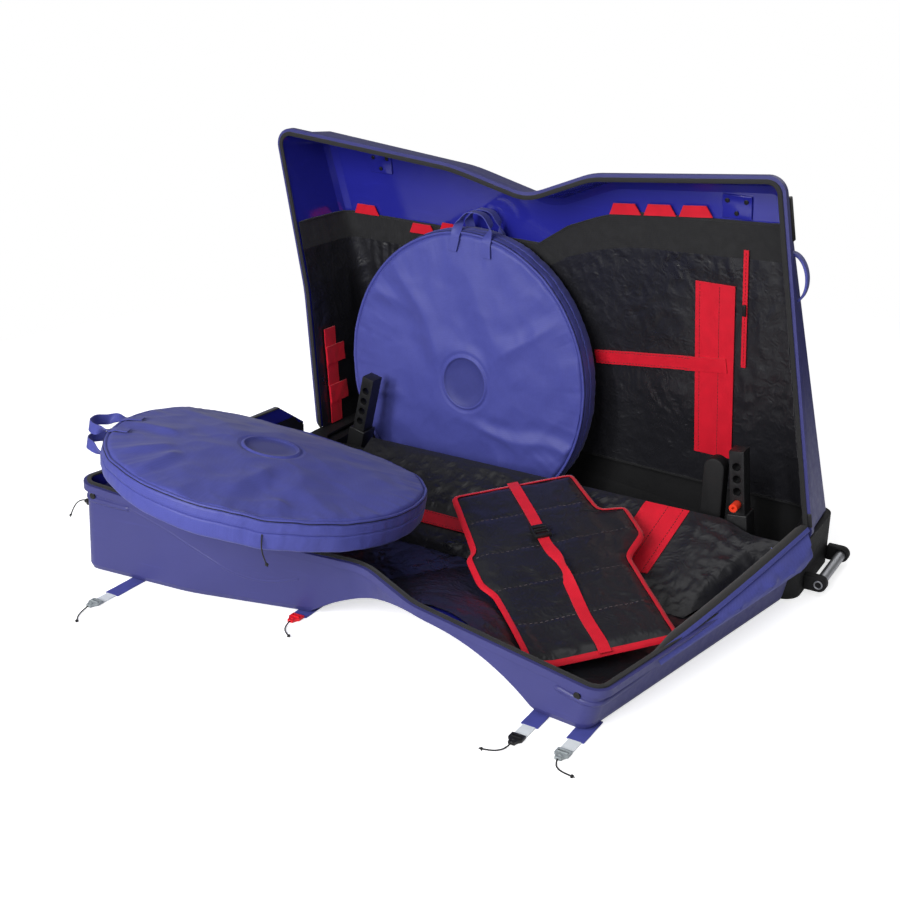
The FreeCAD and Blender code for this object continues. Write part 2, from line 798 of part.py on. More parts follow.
# Fabric gusset that hangs from the front edge of the tub and wraps its two front corners
gusset_front = size("gusset_front")
cloth = size("gusset_thick")
half = size("outline_half") - size("gusset_end_turn")
low = rear_bottom - size("gusset_tall")
end_low = rear_bottom - size("gusset_end_tall")
end_x = size("outline_half") + size("lining_gap")
curtain = Part.makeBox(2 * half, cloth, size("gusset_tall"), Vector(-half, -gusset_front, low))
ledge = Part.makeBox(2 * half, gusset_front - size("base_front"), cloth,
                     Vector(-half, -gusset_front, rear_bottom - cloth))
gusset = curtain.fuse(ledge)
for side in (1, -1):
    start = half if side > 0 else -end_x - cloth
    turn_in = Part.makeBox(end_x + cloth - half, cloth, size("gusset_end_tall"),
                           Vector(start, -gusset_front, end_low))
    start = end_x if side > 0 else -end_x - cloth
    wrap = Part.makeBox(cloth, gusset_front, size("gusset_end_tall"), Vector(start, -gusset_front, end_low))
    gusset = gusset.fuse(turn_in).fuse(wrap)
node(feature("FoldGusset", gusset.removeSplitter()), "fold_gusset")

# Rolling wheels in forks on the wide end of the tub
wheel_x = "-outline_half + wheel_step_long - tyre_radius - cheek_gap"
axle_half = "(tyre_wide / 2 + cheek_gap + cheek_wall)"
forks = []
axles = []
bearings = []
for name, y in (("front", "front_wheel_y"), ("rear", "rear_wheel_y")):
    title = name.capitalize()
    tyre = cut(title + "Tyre", rod(title + "TyreSolid", "tyre_radius", "tyre_wide", wheel_x,
                                   y + " - tyre_wide / 2", "tyre_radius", ALONG_Y),
               rod(title + "TyreBore", "rim_radius", "tyre_wide", wheel_x,
                   y + " - tyre_wide / 2", "tyre_radius", ALONG_Y))
    node(tyre, name + "_tyre")
    core = cut(title + "Core", rod(title + "CoreSolid", "rim_radius", "tyre_wide", wheel_x,
                                   y + " - tyre_wide / 2", "tyre_radius", ALONG_Y),
               rod(title + "CoreBore", "bearing_radius + running_gap", "tyre_wide", wheel_x,
                   y + " - tyre_wide / 2", "tyre_radius", ALONG_Y))
    node(core, name + "_wheel_core")
    cheeks = []
    for side, start in (("A", "-tyre_wide / 2 - cheek_gap - cheek_wall"), ("B", "tyre_wide / 2 + cheek_gap")):
        plate = block(title + "Cheek" + side, "fork_long", "cheek_wall", "fork_tall",
                      wheel_x + " - fork_long / 2", y + start if start[0] == "-" else y + " + " + start,
                      "tyre_radius - fork_long / 4")
        hole = rod(title + "CheekHole" + side, "axle_radius", "cheek_wall", wheel_x,
                   y + start if start[0] == "-" else y + " + " + start, "tyre_radius", ALONG_Y)
        cheeks.append(cut(title + "CheekBored" + side, plate, hole))
        edge = y + " - tyre_wide / 2" if side == "A" else y + " + tyre_wide / 2 - bearing_wide"
        ring = cut(title + "Bearing" + side,
                   rod(title + "BearingOuter" + side, "bearing_radius", "bearing_wide", wheel_x, edge,
                       "tyre_radius", ALONG_Y),
                   rod(title + "BearingBore" + side, "axle_radius", "bearing_wide", wheel_x, edge,
                       "tyre_radius", ALONG_Y))
        bearings.append(ring)
    crown_z = "tyre_radius - fork_long / 4 + fork_tall - cheek_wall"
    crown = block(title + "Crown", "fork_long", "2 * " + axle_half, "cheek_wall", wheel_x + " - fork_long / 2",
                  y + " - " + axle_half, crown_z)
    forks.append(fuse(title + "Fork", cheeks + [crown]))
    shank = rod(title + "Shank", "axle_radius", "2 * " + axle_half, wheel_x, y + " - " + axle_half,
                "tyre_radius", ALONG_Y)
    head = rod(title + "Head", "axle_head_radius", "axle_head_tall", wheel_x,
               y + " - " + axle_half + " - axle_head_tall", "tyre_radius", ALONG_Y)
    axles.append(fuse(title + "Axle", [shank, head]))
node(group("WheelForks", forks), "wheel_forks")
node(group("WheelAxles", axles), "wheel_axles")
node(group("WheelBearings", bearings), "wheel_bearings")

# Grab bar on two lugs at the narrow end
bar_x = "outline_half + bar_reach"
bar_solid = rod("BarSolid", "bar_radius", "bar_rear_y - bar_front_y", bar_x, "bar_front_y", "bar_z", ALONG_Y)
bar_bore = rod("BarBore", "bar_radius - bar_wall", "bar_rear_y - bar_front_y", bar_x, "bar_front_y", "bar_z", ALONG_Y)
node(cut("GrabBar", bar_solid, bar_bore), "grab_bar")
lugs = []
for i, (outer_y, seat_y) in enumerate((("bar_front_y + lug_seat_deep - lug_wide", "bar_front_y"),
                                       ("bar_rear_y - lug_seat_deep", "bar_rear_y - lug_seat_deep"))):
    arm = block("LugArm%d" % i, "bar_reach", "lug_wide", "2 * lug_round", "outline_half", outer_y, "bar_z - lug_round")
    eye = rod("LugEye%d" % i, "lug_round", "lug_wide", bar_x, outer_y, "bar_z", ALONG_Y)
    bore = rod("LugBore%d" % i, "bar_radius", "lug_seat_deep", bar_x, seat_y, "bar_z", ALONG_Y)
    lugs.append(cut("Lug%d" % i, fuse("LugBody%d" % i, [arm, eye]), bore))
node(group("BarLugs", lugs), "grab_bar_lugs")


# Dropout posts: a pierced upright that slides in a sleeve standing in the tub

def plane_of(body, role):
    return [f for f in body.Origin.OriginFeatures if f.Role == role][0]


def rectangle(body, name, role, long, wide):
    """A sketch of a centred rectangle, sized by the sheet."""
    import Sketcher
    sketch = body.newObject("Sketcher::SketchObject", name)
    sketch.AttachmentSupport = (plane_of(body, role), [""])
    sketch.MapMode = "FlatFace"
    half = (size(long) / 2, size(wide) / 2)
    spots = [(-half[0], -half[1]), (half[0], -half[1]), (half[0], half[1]), (-half[0], half[1])]
    for i in range(4):
        start, end = spots[i], spots[(i + 1) % 4]
        sketch.addGeometry(Part.LineSegment(Vector(*start, 0), Vector(*end, 0)))
    for i in range(4):
        sketch.addConstraint(Sketcher.Constraint("Coincident", i, 2, (i + 1) % 4, 1))
    for i in range(4):
        sketch.addConstraint(Sketcher.Constraint("Horizontal" if i % 2 == 0 else "Vertical", i))
    sketch.addConstraint(Sketcher.Constraint("Symmetric", 0, 1, 1, 2, -1, 1))
    row = sketch.addConstraint(Sketcher.Constraint("DistanceX", 0, 1, 0, 2, size(long)))
    sketch.setExpression("Constraints[%d]" % row, formula(long))
    row = sketch.addConstraint(Sketcher.Constraint("DistanceY", 1, 1, 1, 2, size(wide)))
    sketch.setExpression("Constraints[%d]" % row, formula(wide))
    return sketch


def hole_sketch(body, name, role, radius, up):
    """A sketch of one hole on the centre line, a given height up the post."""
    import Sketcher
    sketch = body.newObject("Sketcher::SketchObject", name)
    sketch.AttachmentSupport = (plane_of(body, role), [""])
    sketch.MapMode = "FlatFace"
    sketch.addGeometry(Part.Circle(Vector(0, size(up), 0), Vector(0, 0, 1), size(radius)))
    sketch.addConstraint(Sketcher.Constraint("PointOnObject", 0, 3, -2))
    row = sketch.addConstraint(Sketcher.Constraint("DistanceY", -1, 1, 0, 3, size(up)))
    sketch.setExpression("Constraints[%d]" % row, formula(up))
    row = sketch.addConstraint(Sketcher.Constraint("Radius", 0, size(radius)))
    sketch.setExpression("Constraints[%d]" % row, formula(radius))
    return sketch


def pierced_post(name):
    body = doc.addObject("PartDesign::Body", name)
    stem = body.newObject("PartDesign::Pad", name + "Stem")
    stem.Profile = rectangle(body, name + "Section", "XY_Plane", "post_wide", "post_deep")
    stem.setExpression("Length", formula("post_long"))
    doc.recompute()
    before = stem.Shape.Volume
    drill = body.newObject("PartDesign::Pocket", name + "Drill")
    drill.Profile = hole_sketch(body, name + "Hole", "XZ_Plane", "post_hole_radius", "post_first_hole")
    drill.Type = "ThroughAll"
    drill.Midplane = True
    doc.recompute()
    row = body.newObject("PartDesign::LinearPattern", name + "Row")
    row.Originals = [drill]
    row.Direction = (plane_of(body, "XY_Plane"), [""])
    row.setExpression("Length", formula("post_hole_pitch * (post_hole_count - 1)"))
    row.setExpression("Occurrences", formula("post_hole_count"))
    body.Tip = row
    doc.recompute()
    drilled = before - body.Shape.Volume
    expected = size("post_hole_count") * math.pi * size("post_hole_radius") ** 2 * size("post_deep")
    print(name, "holes cut", round(drilled), "of", round(expected))
    return body


sleeves = []
POST_SEATS = {}
for name in ("left", "right"):
    lean = Rotation(Vector(0, 1, 0), size(name + "_post_lean"))
    from_middle = size("outline_half") - size(name + "_post_from_end")
    foot = Vector(from_middle if name == "right" else -from_middle, 0, base_floor_z)
    rise = size("post_foot_z") - base_floor_z
    seat = Placement(foot, lean) * Placement(Vector(0, 0, rise), Rotation())
    POST_SEATS[name] = seat
    post = node(pierced_post(name.capitalize() + "Post"), name + "_post", seat)
    gap = size("sleeve_gap")
    wide, deep = size("post_wide") + 2 * gap, size("post_deep") + 2 * gap
    rim = size("sleeve_wall")
    tall = size("sleeve_long") + overrun
    outer = Part.makeBox(wide + 2 * rim, deep + 2 * rim, tall, Vector(-wide / 2 - rim, -deep / 2 - rim, -overrun))
    seat_z = rise - size("sleeve_gap")
    inner = Part.makeBox(wide, deep, tall + overrun, Vector(-wide / 2, -deep / 2, seat_z))
    sleeve = outer.cut(inner)
    sleeve.Placement = Placement(foot, lean)
    ground = Part.makeBox(4 * tall, 4 * tall, 2 * tall, Vector(foot.x - 2 * tall, -2 * tall, base_floor_z - 2 * tall))
    sleeves.append(sleeve.cut(ground))
node(feature("PostSleeves", Part.makeCompound(sleeves)), "post_sleeves")

# Hollow red axle pin through one hole of the narrow-end post
pin_up = size("post_first_hole") + size("post_hole_pitch") * (size("post_hole_count") - 1 - size("pin_hole_index"))
pin = Part.makeCylinder(size("pin_radius"), size("pin_head_long"))
pin = pin.fuse(Part.makeCylinder(size("pin_shank_radius"), size("pin_long")))
pin = pin.cut(Part.makeCylinder(size("pin_bore"), size("pin_long")))
pin_start = Vector(0, -size("post_deep") / 2 - size("pin_out"), pin_up)
pin.Placement = POST_SEATS["right"] * Placement(pin_start, ALONG_Y)
node(feature("AxlePin", pin), "axle_pin")

# Rounded keeper pad beside the narrow-end post
keeper_low = block("KeeperLow", "keeper_radius * 2", "keeper_wide", "keeper_tall", "keeper_x - keeper_radius",
                   "keeper_y - keeper_wide / 2", "base_wall")
keeper_top = rod("KeeperTop", "keeper_radius", "keeper_wide", "keeper_x", "keeper_y - keeper_wide / 2",
                 "base_wall + keeper_tall", ALONG_Y)
node(fuse("ChainKeeper", [keeper_low, keeper_top]), "chain_keeper_pad")


# Wheel bags: a padded disc with a crown on its show side

def bag_disc(name, radius):
    rim = rod(name + "Rim", radius, "2 * bag_half", z="-bag_half")
    crown = doc.addObject("Part::Cone", name + "Crown")
    bind(crown, Radius1=radius, Radius2="bag_hub_radius", Height="bag_crown")
    at(crown, z="bag_half")
    return fuse(name, [rim, crown])


def bag_grip(radius, apart):
    """A webbing handle that stands on the edge of the disc, in its plane."""
    ring = Part.makeCylinder(size("grip_radius"), size("grip_wide"))
    ring = ring.cut(Part.makeCylinder(size("grip_radius") - size("grip_strap"), size("grip_wide")))
    ring.translate(Vector(0, radius, apart - size("grip_wide") / 2))
    clear = Part.makeCylinder(radius + size("grip_gap"), 2 * radius, Vector(0, 0, -radius))
    return ring.cut(clear)


def bag_grips(radius):
    reach = size("bag_half") - size("grip_wide") / 2
    return Part.makeCompound([bag_grip(radius, reach), bag_grip(radius, -reach)])


def turned(degrees):
    return Placement(Vector(), Rotation(Vector(0, 0, 1), degrees))


FACING = Rotation(Vector(1, 0, 0), 90)
rear_bag_z = base_floor_z + size("rear_bag_radius") + size("rear_bag_gap")
REAR_BAG = Placement(Vector(size("rear_bag_x"), size("rear_bag_y"), rear_bag_z), FACING)
node(bag_disc("RearBag", "rear_bag_radius"), "rear_wheel_bag", REAR_BAG)
node(feature("RearBagGrips", bag_grips(size("rear_bag_radius"))), "rear_bag_handles",
     REAR_BAG * turned(size("rear_grip_turn")))

lying = Rotation(Vector(1, 0, 0), size("front_bag_tilt_x")) * Rotation(Vector(0, 1, 0), size("front_bag_tilt_y"))
FRONT_BAG = Placement(Vector(size("front_bag_x"), size("front_bag_y"), size("front_bag_z")), lying)
node(bag_disc("FrontBag", "front_bag_radius"), "front_wheel_bag", FRONT_BAG)
node(feature("FrontBagGrips", bag_grips(size("front_bag_radius"))), "front_bag_handles",
     FRONT_BAG * turned(size("front_grip_turn")))

# Frame pad: a stepped quilted panel lying on the front half
foot_y, head_y = size("pad_foot_y"), size("pad_head_y")
foot_half, head_half = size("pad_foot_half"), size("pad_head_half")
wing_top, wing_low, wing_foot = size("pad_wing_top"), size("pad_wing_low"), size("pad_wing_foot")
pad_outline = [
    (-foot_half, foot_y),
    (foot_half, foot_y),
    (foot_half, wing_foot),
    (size("pad_wing_right"), wing_low),
    (size("pad_wing_right"), wing_top),
    (foot_half, wing_top),
    (head_half, head_y),
    (-head_half, head_y),
    (-foot_half, wing_top / 2),
    (-size("pad_wing_left"), wing_top / 2),
    (-size("pad_wing_left"), wing_foot),
    (-foot_half, 2 * wing_foot),
]
pad_face = Part.Face(Part.makePolygon([Vector(x, y, 0) for x, y in pad_outline + pad_outline[:1]]))
pad = pad_face.extrude(Vector(0, 0, size("pad_thick")))
pad_long = head_y - foot_y
channel = size("pad_channel")
for i in range(int(size("pad_channel_count"))):
    y = foot_y + pad_long * (i + 1) / (size("pad_channel_count") + 1)
    groove = Part.makeCylinder(channel, 2 * pad_long, Vector(-pad_long, y, size("pad_thick")), Vector(1, 0, 0))
    pad = pad.cut(groove)
pad_turn = Rotation(Vector(0, 0, 1), size("pad_turn")) * Rotation(Vector(1, 0, 0), size("pad_pitch"))
PAD = Placement(Vector(size("pad_x"), size("pad_y"), size("pad_z")), pad_turn)
node(feature("FramePad", pad), "frame_pad", PAD)
strap_z = size("pad_thick") + size("patch_gap")
pad_strap = Part.makeBox(size("pad_strap_wide"), pad_long, size("patch_thick"),
                         Vector(-size("pad_strap_wide") / 2, foot_y, strap_z))
node(feature("PadStrap", pad_strap), "frame_pad_strap", PAD)
buckle_z = strap_z + size("patch_thick") + size("patch_gap")
buckle = Part.makeBox(size("pad_buckle_wide"), size("pad_buckle_long"), size("pad_buckle_thick"),
                      Vector(-size("pad_buckle_wide") / 2, wing_top - size("pad_buckle_long"), buckle_z))
node(feature("PadBuckle", buckle), "frame_pad_buckle", PAD)

# End handle and end buckle on the narrow end of the rear half
end_run = (size("outline_half") - size("top_right_x")) / (size("top_right_z") - rear_bottom)
end_lean = Rotation(Vector(0, 1, 0), -math.degrees(math.atan(end_run)))


def end_place(y, z):
    """A seat on the outer face of the narrow end wall: X out, Y to the back, Z up."""
    run = rear_depth(size("top_right_x"), z) - half_gap - size("back_round")
    slope = size("rear_side_draft") / run
    x = size("outline_half") - (z - rear_bottom) * end_run - slope * (y - half_gap)
    upward = Vector(-end_run, 0, 1)
    backward = Vector(-slope, 1, 0)
    outward = backward.cross(upward)
    return Placement(Vector(x, y, z), Rotation(outward, backward, upward, "XZY"))


near = size("grip_gap")


def oval(up, out):
    """A flat oval as wide as the handle's webbing: its long way up the wall, its short way out of it."""
    ring = Part.Ellipse(Vector(0, 0, 0), up, out).toShape()
    ring.Placement = Placement(Vector(0, -size("handle_wide") / 2, 0),
                               Rotation(Vector(0, 0, 1), Vector(1, 0, 0), Vector(0, 1, 0), "XYZ"))
    return Part.Face(Part.Wire(ring)).extrude(Vector(0, size("handle_wide"), 0))


hoop = oval(size("handle_radius"), size("handle_reach"))
hoop = hoop.cut(oval(size("handle_radius") - size("handle_strap"), size("handle_reach") - size("handle_strap")))
hoop = hoop.cut(Part.makeBox(4 * size("handle_radius"), 4 * size("handle_radius"), 4 * size("handle_radius"),
                             Vector(near - 4 * size("handle_radius"), -2 * size("handle_radius"),
                                    -2 * size("handle_radius"))))
node(feature("EndHandle", hoop), "end_handle", end_place(size("handle_y"), size("handle_z")))
end_buckle = Part.makeBox(size("end_buckle_thick"), size("end_buckle_wide"), size("end_buckle_tall"),
                          Vector(2 * near, -size("end_buckle_wide") / 2, -size("end_buckle_tall") / 2))
node(feature("EndBuckle", end_buckle), "end_buckle", end_place(size("handle_y"), size("end_buckle_z")))

# Slider of the parting zip, in the groove between the two rim beads
slide_z = size("zip_slider_start_z")
slider = Part.makeBox(size("zip_slider_wide"), size("zip_slider_thick"), size("zip_slider_long"),
                      Vector(size("tape_out") + size("patch_gap"), 0, 0))
slide_x = size("outline_half") - (slide_z - rear_bottom) * end_run
node(feature("ZipSlider", slider), "zip_slider", Placement(Vector(slide_x, 0, slide_z), end_lean))

# Rivets on the outer corners of the front half, seated on its top wall
front_rivets = []
below = half_gap + size("front_rivet_below_rim")
left_slope = (size("top_left_z") - size("shoulder_z")) / (size("top_left_x") - size("shoulder_x"))
right_slope = (size("top_right_z") - size("knee_z")) / (size("top_right_x") - size("knee_x"))
for corner_x, corner_z, side, slope in ((-size("top_left_x"), size("top_left_z"), 1, left_slope),
                                        (size("top_right_x"), size("top_right_z"), -1, right_slope)):
    x = corner_x + side * size("front_rivet_from_corner")
    run = front_depth(x, corner_z) - half_gap - size("front_back_round")
    flare = -size("front_top_draft") * size("front_rivet_below_rim") / run
    z = corner_z - size("front_rivet_from_corner") * slope + flare + 3 * size("lining_gap")
    front_rivets.append(Part.makeCylinder(size("front_rivet_radius"), size("rivet_tall"), Vector(x, -below, z),
                                          Vector(side * slope, 0, 1)))
node(feature("FrontRivets", Part.makeCompound(front_rivets)), "front_corner_rivets", FRONT_OPEN)

# Closing straps of the front half: a tab sewn under its outer face, webbing, hook and pull cord
FACE_OUT = Rotation(Vector(0, -1, 0), Vector(1, 0, 0), Vector(0, 0, 1), "ZXY")
END_OUT = Rotation(Vector(-1, 0, 0), Vector(0, -1, 0), Vector(0, 0, 1), "ZXY")
STRAPS = {}
for name in ("corner", "waist", "front", "edge"):
    place = Vector(size(name + "_strap_x"), size(name + "_strap_y"), size("strap_floor"))
    STRAPS[name] = Placement(place, FACE_OUT)
STRAPS["end"] = Placement(Vector(size("end_strap_x"), size("end_strap_y"), size("end_strap_z")), END_OUT)

# The end strap's tab reaches back to the end wall
rim_here = FRONT_OPEN.inverse().multVec(STRAPS["end"].Base)
lean = (size("top_left_x") - size("bend_left_x")) / (size("top_left_z") - size("bend_left_z"))
wall_run = front_depth(-size("top_left_x"), rim_here.z) - half_gap - size("front_back_round")
wall_share = (-rim_here.y - half_gap) / wall_run
wall_x = -size("bend_left_x") - (rim_here.z - size("bend_left_z")) * lean + size("front_side_draft") * wall_share
end_tab_long = (FRONT_OPEN.multVec(Vector(wall_x, rim_here.y, rim_here.z)) - STRAPS["end"].Base).x

tabs = []
for name, seat in STRAPS.items():
    long = end_tab_long - size("tab_wide") / 2 * lean if name == "end" else size(name + "_tab_long")
    tab = Part.makeBox(long, size("tab_wide"), size("tab_thick"), Vector(-long, -size("tab_wide") / 2, 0))
    tab.Placement = seat
    tabs.append(tab)
node(feature("StrapTabs", Part.makeCompound(tabs)), "strap_tabs")


def rounded_route(points):
    """A cord's centre line: straight runs joined by tangent arcs."""
    edges = []
    radii = []
    last = points[0]
    for i in range(1, len(points) - 1):
        back = points[i - 1] - points[i]
        ahead = points[i + 1] - points[i]
        shorter = min(back.Length, ahead.Length)
        half_turn = (math.pi - back.getAngle(ahead)) / 2
        reach = 0.45 * shorter
        radius = reach / math.tan(half_turn)
        back.normalize()
        ahead.normalize()
        middle = back + ahead
        middle.normalize()
        crest = points[i] + middle * (radius / math.cos(half_turn) - radius)
        start, end = points[i] + back * reach, points[i] + ahead * reach
        edges.append(Part.LineSegment(last, start).toShape())
        edges.append(Part.Arc(start, crest, end).toShape())
        radii.append(round(radius, 1))
        last = end
    edges.append(Part.LineSegment(last, points[-1]).toShape())
    return Part.Wire(edges), radii


def cord(name, points):
    route, radii = rounded_route(points)
    away = points[1] - points[0]
    ring = Part.Wire(Part.Circle(points[0], away, size("cord_radius")).toShape())
    tube = route.makePipeShell([ring], True, True)
    expected = math.pi * size("cord_radius") ** 2 * route.Length
    print(name, "length", round(route.Length, 1), "radii", radii, "volume share", round(tube.Volume / expected, 3))
    return feature(name, tube)


# Cord routes as shares of the cord's reach: out from the hook, across and up
CORD_SHARES = {
    "end": [(0, 0, 0), (0.22, 0.03, -0.03), (0.42, 0.1, -0.17), (0.53, 0.2, -0.39), (0.58, 0.3, -0.63)],
    "corner": [(0, 0, 0), (0.22, 0.02, -0.035), (0.45, 0.08, -0.045), (0.67, 0.2, -0.046), (0.86, 0.38, -0.045)],
    "waist": [(0, 0, 0), (0.22, 0.03, -0.035), (0.43, 0.13, -0.045), (0.6, 0.3, -0.046), (0.72, 0.52, -0.045)],
    "front": [(0, 0, 0), (0.22, -0.03, -0.035), (0.41, -0.15, -0.045), (0.54, -0.35, -0.046), (0.6, -0.59, -0.045)],
    "edge": [(0, 0, 0), (0.21, 0.05, -0.035), (0.36, 0.2, -0.045), (0.43, 0.42, -0.046), (0.45, 0.66, -0.045)],
}
for name, seat in STRAPS.items():
    hook_start = size("strap_gap")
    if name != "waist":
        web = Part.makeBox(size("web_long"), size("web_wide"), size("web_thick"),
                           Vector(size("strap_gap"), -size("web_wide") / 2, 0))
        node(feature(name.capitalize() + "Web", web), name + "_strap_web", seat)
        hook_start += size("web_long") + size("strap_gap") / 2
    hook = Part.makeBox(size("hook_long"), size("hook_wide"), size("hook_thick"),
                        Vector(hook_start, -size("hook_wide") / 2, 0))
    hook_end = hook_start + size("hook_long")
    eye = Part.makeCylinder(size("hook_eye_radius"), size("hook_thick"),
                            Vector(hook_end - size("hook_eye_inset"), 0, 0))
    node(feature(name.capitalize() + "Hook", hook.cut(eye)), name + "_strap_hook", seat)
    origin = Vector(hook_end + size("strap_gap"), 0, size("hook_thick") / 2)
    points = [seat.multVec(origin + Vector(*share) * size("cord_reach")) for share in CORD_SHARES[name]]
    node(cord(name + "_strap_cord", points), name + "_strap_cord")

# Pull cord of the lying bag's zip, hanging on the front of its gusset
bag_cord_shares = [(0, 0, 0), (0, -0.05, -0.22), (0.03, -0.1, -0.45), (0.1, -0.12, -0.7), (0.2, -0.1, -0.93)]
bag_front = math.sqrt(size("front_bag_radius") ** 2 - size("bag_cord_x") ** 2)
bag_cord_out = bag_front + size("cord_radius") + 2 * size("grip_gap")
bag_cord_start = FRONT_BAG.multVec(Vector(size("bag_cord_x"), -bag_cord_out, 0))
points = [bag_cord_start + Vector(*share) * size("bag_cord_reach") for share in bag_cord_shares]
node(cord("bag_zip_cord", points), "bag_zip_cord")

# Check every object, then write each piece to its own file
doc.recompute()
for obj in doc.Objects:
    if "Invalid" in obj.State or "Error" in obj.State:
        raise RuntimeError("failed object: " + obj.Label + " " + str(obj.State))
for obj in NODES:
    if obj.Shape.isNull() or not obj.Shape.isValid():
        raise RuntimeError("bad shape: " + obj.Label)
os.makedirs("parts", exist_ok=True)
for obj in NODES:
    obj.Shape.exportStep("parts/" + obj.Label + ".step")
print(len(NODES), "pieces written")
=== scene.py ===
"""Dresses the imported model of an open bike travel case: soft goods, cords, finishes and a studio stage."""
import json
import math

import bpy
from mathutils import Matrix, Vector, noise
from mathutils.bvhtree import BVHTree


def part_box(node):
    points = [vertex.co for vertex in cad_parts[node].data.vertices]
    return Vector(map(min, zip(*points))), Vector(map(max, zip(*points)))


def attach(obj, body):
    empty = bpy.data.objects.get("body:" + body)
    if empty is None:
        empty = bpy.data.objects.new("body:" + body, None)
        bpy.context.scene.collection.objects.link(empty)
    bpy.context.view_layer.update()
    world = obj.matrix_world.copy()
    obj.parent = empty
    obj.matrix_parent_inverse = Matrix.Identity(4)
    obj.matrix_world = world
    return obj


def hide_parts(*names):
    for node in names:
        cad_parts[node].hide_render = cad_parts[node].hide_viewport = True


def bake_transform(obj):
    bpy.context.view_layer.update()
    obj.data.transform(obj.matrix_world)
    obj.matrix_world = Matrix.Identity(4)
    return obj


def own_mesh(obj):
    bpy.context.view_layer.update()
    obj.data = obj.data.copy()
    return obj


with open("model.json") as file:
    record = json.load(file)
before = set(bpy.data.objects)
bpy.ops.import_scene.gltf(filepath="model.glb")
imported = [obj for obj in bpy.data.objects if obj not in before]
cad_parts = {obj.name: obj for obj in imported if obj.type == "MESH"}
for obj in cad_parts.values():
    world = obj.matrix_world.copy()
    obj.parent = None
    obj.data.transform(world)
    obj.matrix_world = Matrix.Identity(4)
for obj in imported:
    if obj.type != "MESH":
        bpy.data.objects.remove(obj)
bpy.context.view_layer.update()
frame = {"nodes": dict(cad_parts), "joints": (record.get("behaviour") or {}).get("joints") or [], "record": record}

bl_info = {
    "name": "Bike Travel Case",
    "version": (1, 0, 0),
    "blender": (4, 5, 0),
    "location": "3D View > Sidebar > Case",
    "description": "Soft goods, webbing, cords and finishes of an open bike travel case",
    "category": "Object",
}

NODES = frame["nodes"]
SLOT_OF = {row["node"]: row["material_slot"] for row in frame["record"]["subparts"]}
BODY_OF = {}
for body_name, members in frame["record"]["behaviour"]["bodies"].items():
    for member in members:
        BODY_OF[member] = body_name
LID = next(joint for joint in frame["joints"] if joint["name"] == "lid")
NOISE_SEED = 7
noise.seed_set(NOISE_SEED)


# Settings that a user would change

class CaseSizes(bpy.types.PropertyGroup):
    """Sizes of the soft goods, in metres."""
    crinkle: bpy.props.FloatProperty(
        name="Lining crinkle", description="Height of the creases in the coated lining",
        default=0.0052, unit="LENGTH")
    cloth_step: bpy.props.FloatProperty(
        name="Cloth step", description="Spacing of the lining's mesh", default=0.0075, unit="LENGTH")
    band: bpy.props.FloatProperty(
        name="Lining band", description="Height of the matte band along the lining's top edge",
        default=0.075, unit="LENGTH")
    bag_fold: bpy.props.FloatProperty(
        name="Bag folds", description="Height of the folds in the wheel bags' faces",
        default=0.009, unit="LENGTH")
    piping: bpy.props.FloatProperty(
        name="Piping", description="Radius of the piping on the wheel bags", default=0.003, unit="LENGTH")
    webbing: bpy.props.FloatProperty(
        name="Webbing", description="Thickness of handle webbing", default=0.002, unit="LENGTH")
    binding: bpy.props.FloatProperty(
        name="Pad binding", description="Width of the red binding on the frame pad",
        default=0.009, unit="LENGTH")
    cord_diameter: bpy.props.FloatProperty(
        name="Cord diameter", description="Diameter of the pull cords", default=0.003, unit="LENGTH")


class CaseColours(bpy.types.PropertyGroup):
    """Main colours, linear."""
    shell: bpy.props.FloatVectorProperty(
        name="Shell", description="Moulded shell", subtype="COLOR", default=(0.044, 0.045, 0.170))
    shell_inside: bpy.props.FloatVectorProperty(
        name="Shell inside", description="Bare inner wall of the shell", subtype="COLOR",
        default=(0.018, 0.020, 0.255))
    nylon: bpy.props.FloatVectorProperty(
        name="Nylon", description="Wheel bags and tabs", subtype="COLOR", default=(0.060, 0.068, 0.300))
    lining: bpy.props.FloatVectorProperty(
        name="Lining", description="Coated lining", subtype="COLOR", default=(0.0125, 0.0125, 0.0155))
    red: bpy.props.FloatVectorProperty(
        name="Red", description="Webbing, belts and binding", subtype="COLOR", default=(0.62, 0.0025, 0.019))
    white: bpy.props.FloatVectorProperty(
        name="White", description="Closing straps", subtype="COLOR", default=(0.72, 0.76, 0.78))
    fitting: bpy.props.FloatVectorProperty(
        name="Fittings", description="Moulded black fittings", subtype="COLOR", default=(0.011, 0.011, 0.012))


# Shared shader groups

def shader_group(name, inputs, outputs):
    tree = bpy.data.node_groups.new(name, "ShaderNodeTree")
    for label, kind, value in inputs:
        socket = tree.interface.new_socket(name=label, in_out="INPUT", socket_type=kind)
        if value is not None:
            socket.default_value = value
    for label in outputs:
        tree.interface.new_socket(name=label, in_out="OUTPUT", socket_type="NodeSocketFloat")
    return tree, tree.nodes.new("NodeGroupInput"), tree.nodes.new("NodeGroupOutput")


def add_node(tree, kind, attributes=None, **inputs):
    """A node with its attributes and inputs; an output socket given as an input is linked."""
    node = tree.nodes.new(kind)
    for key, value in (attributes or {}).items():
        setattr(node, key, value)
    for key, value in inputs.items():
        socket = node.inputs[int(key[1:])] if key[0] == "i" and key[1:].isdigit() else node.inputs[key]
        if isinstance(value, bpy.types.NodeSocket):
            tree.links.new(value, socket)
        else:
            socket.default_value = value
    return node


def maths(tree, operation, first, second=0.5):
    return add_node(tree, "ShaderNodeMath", {"operation": operation}, i0=first, i1=second).outputs[0]


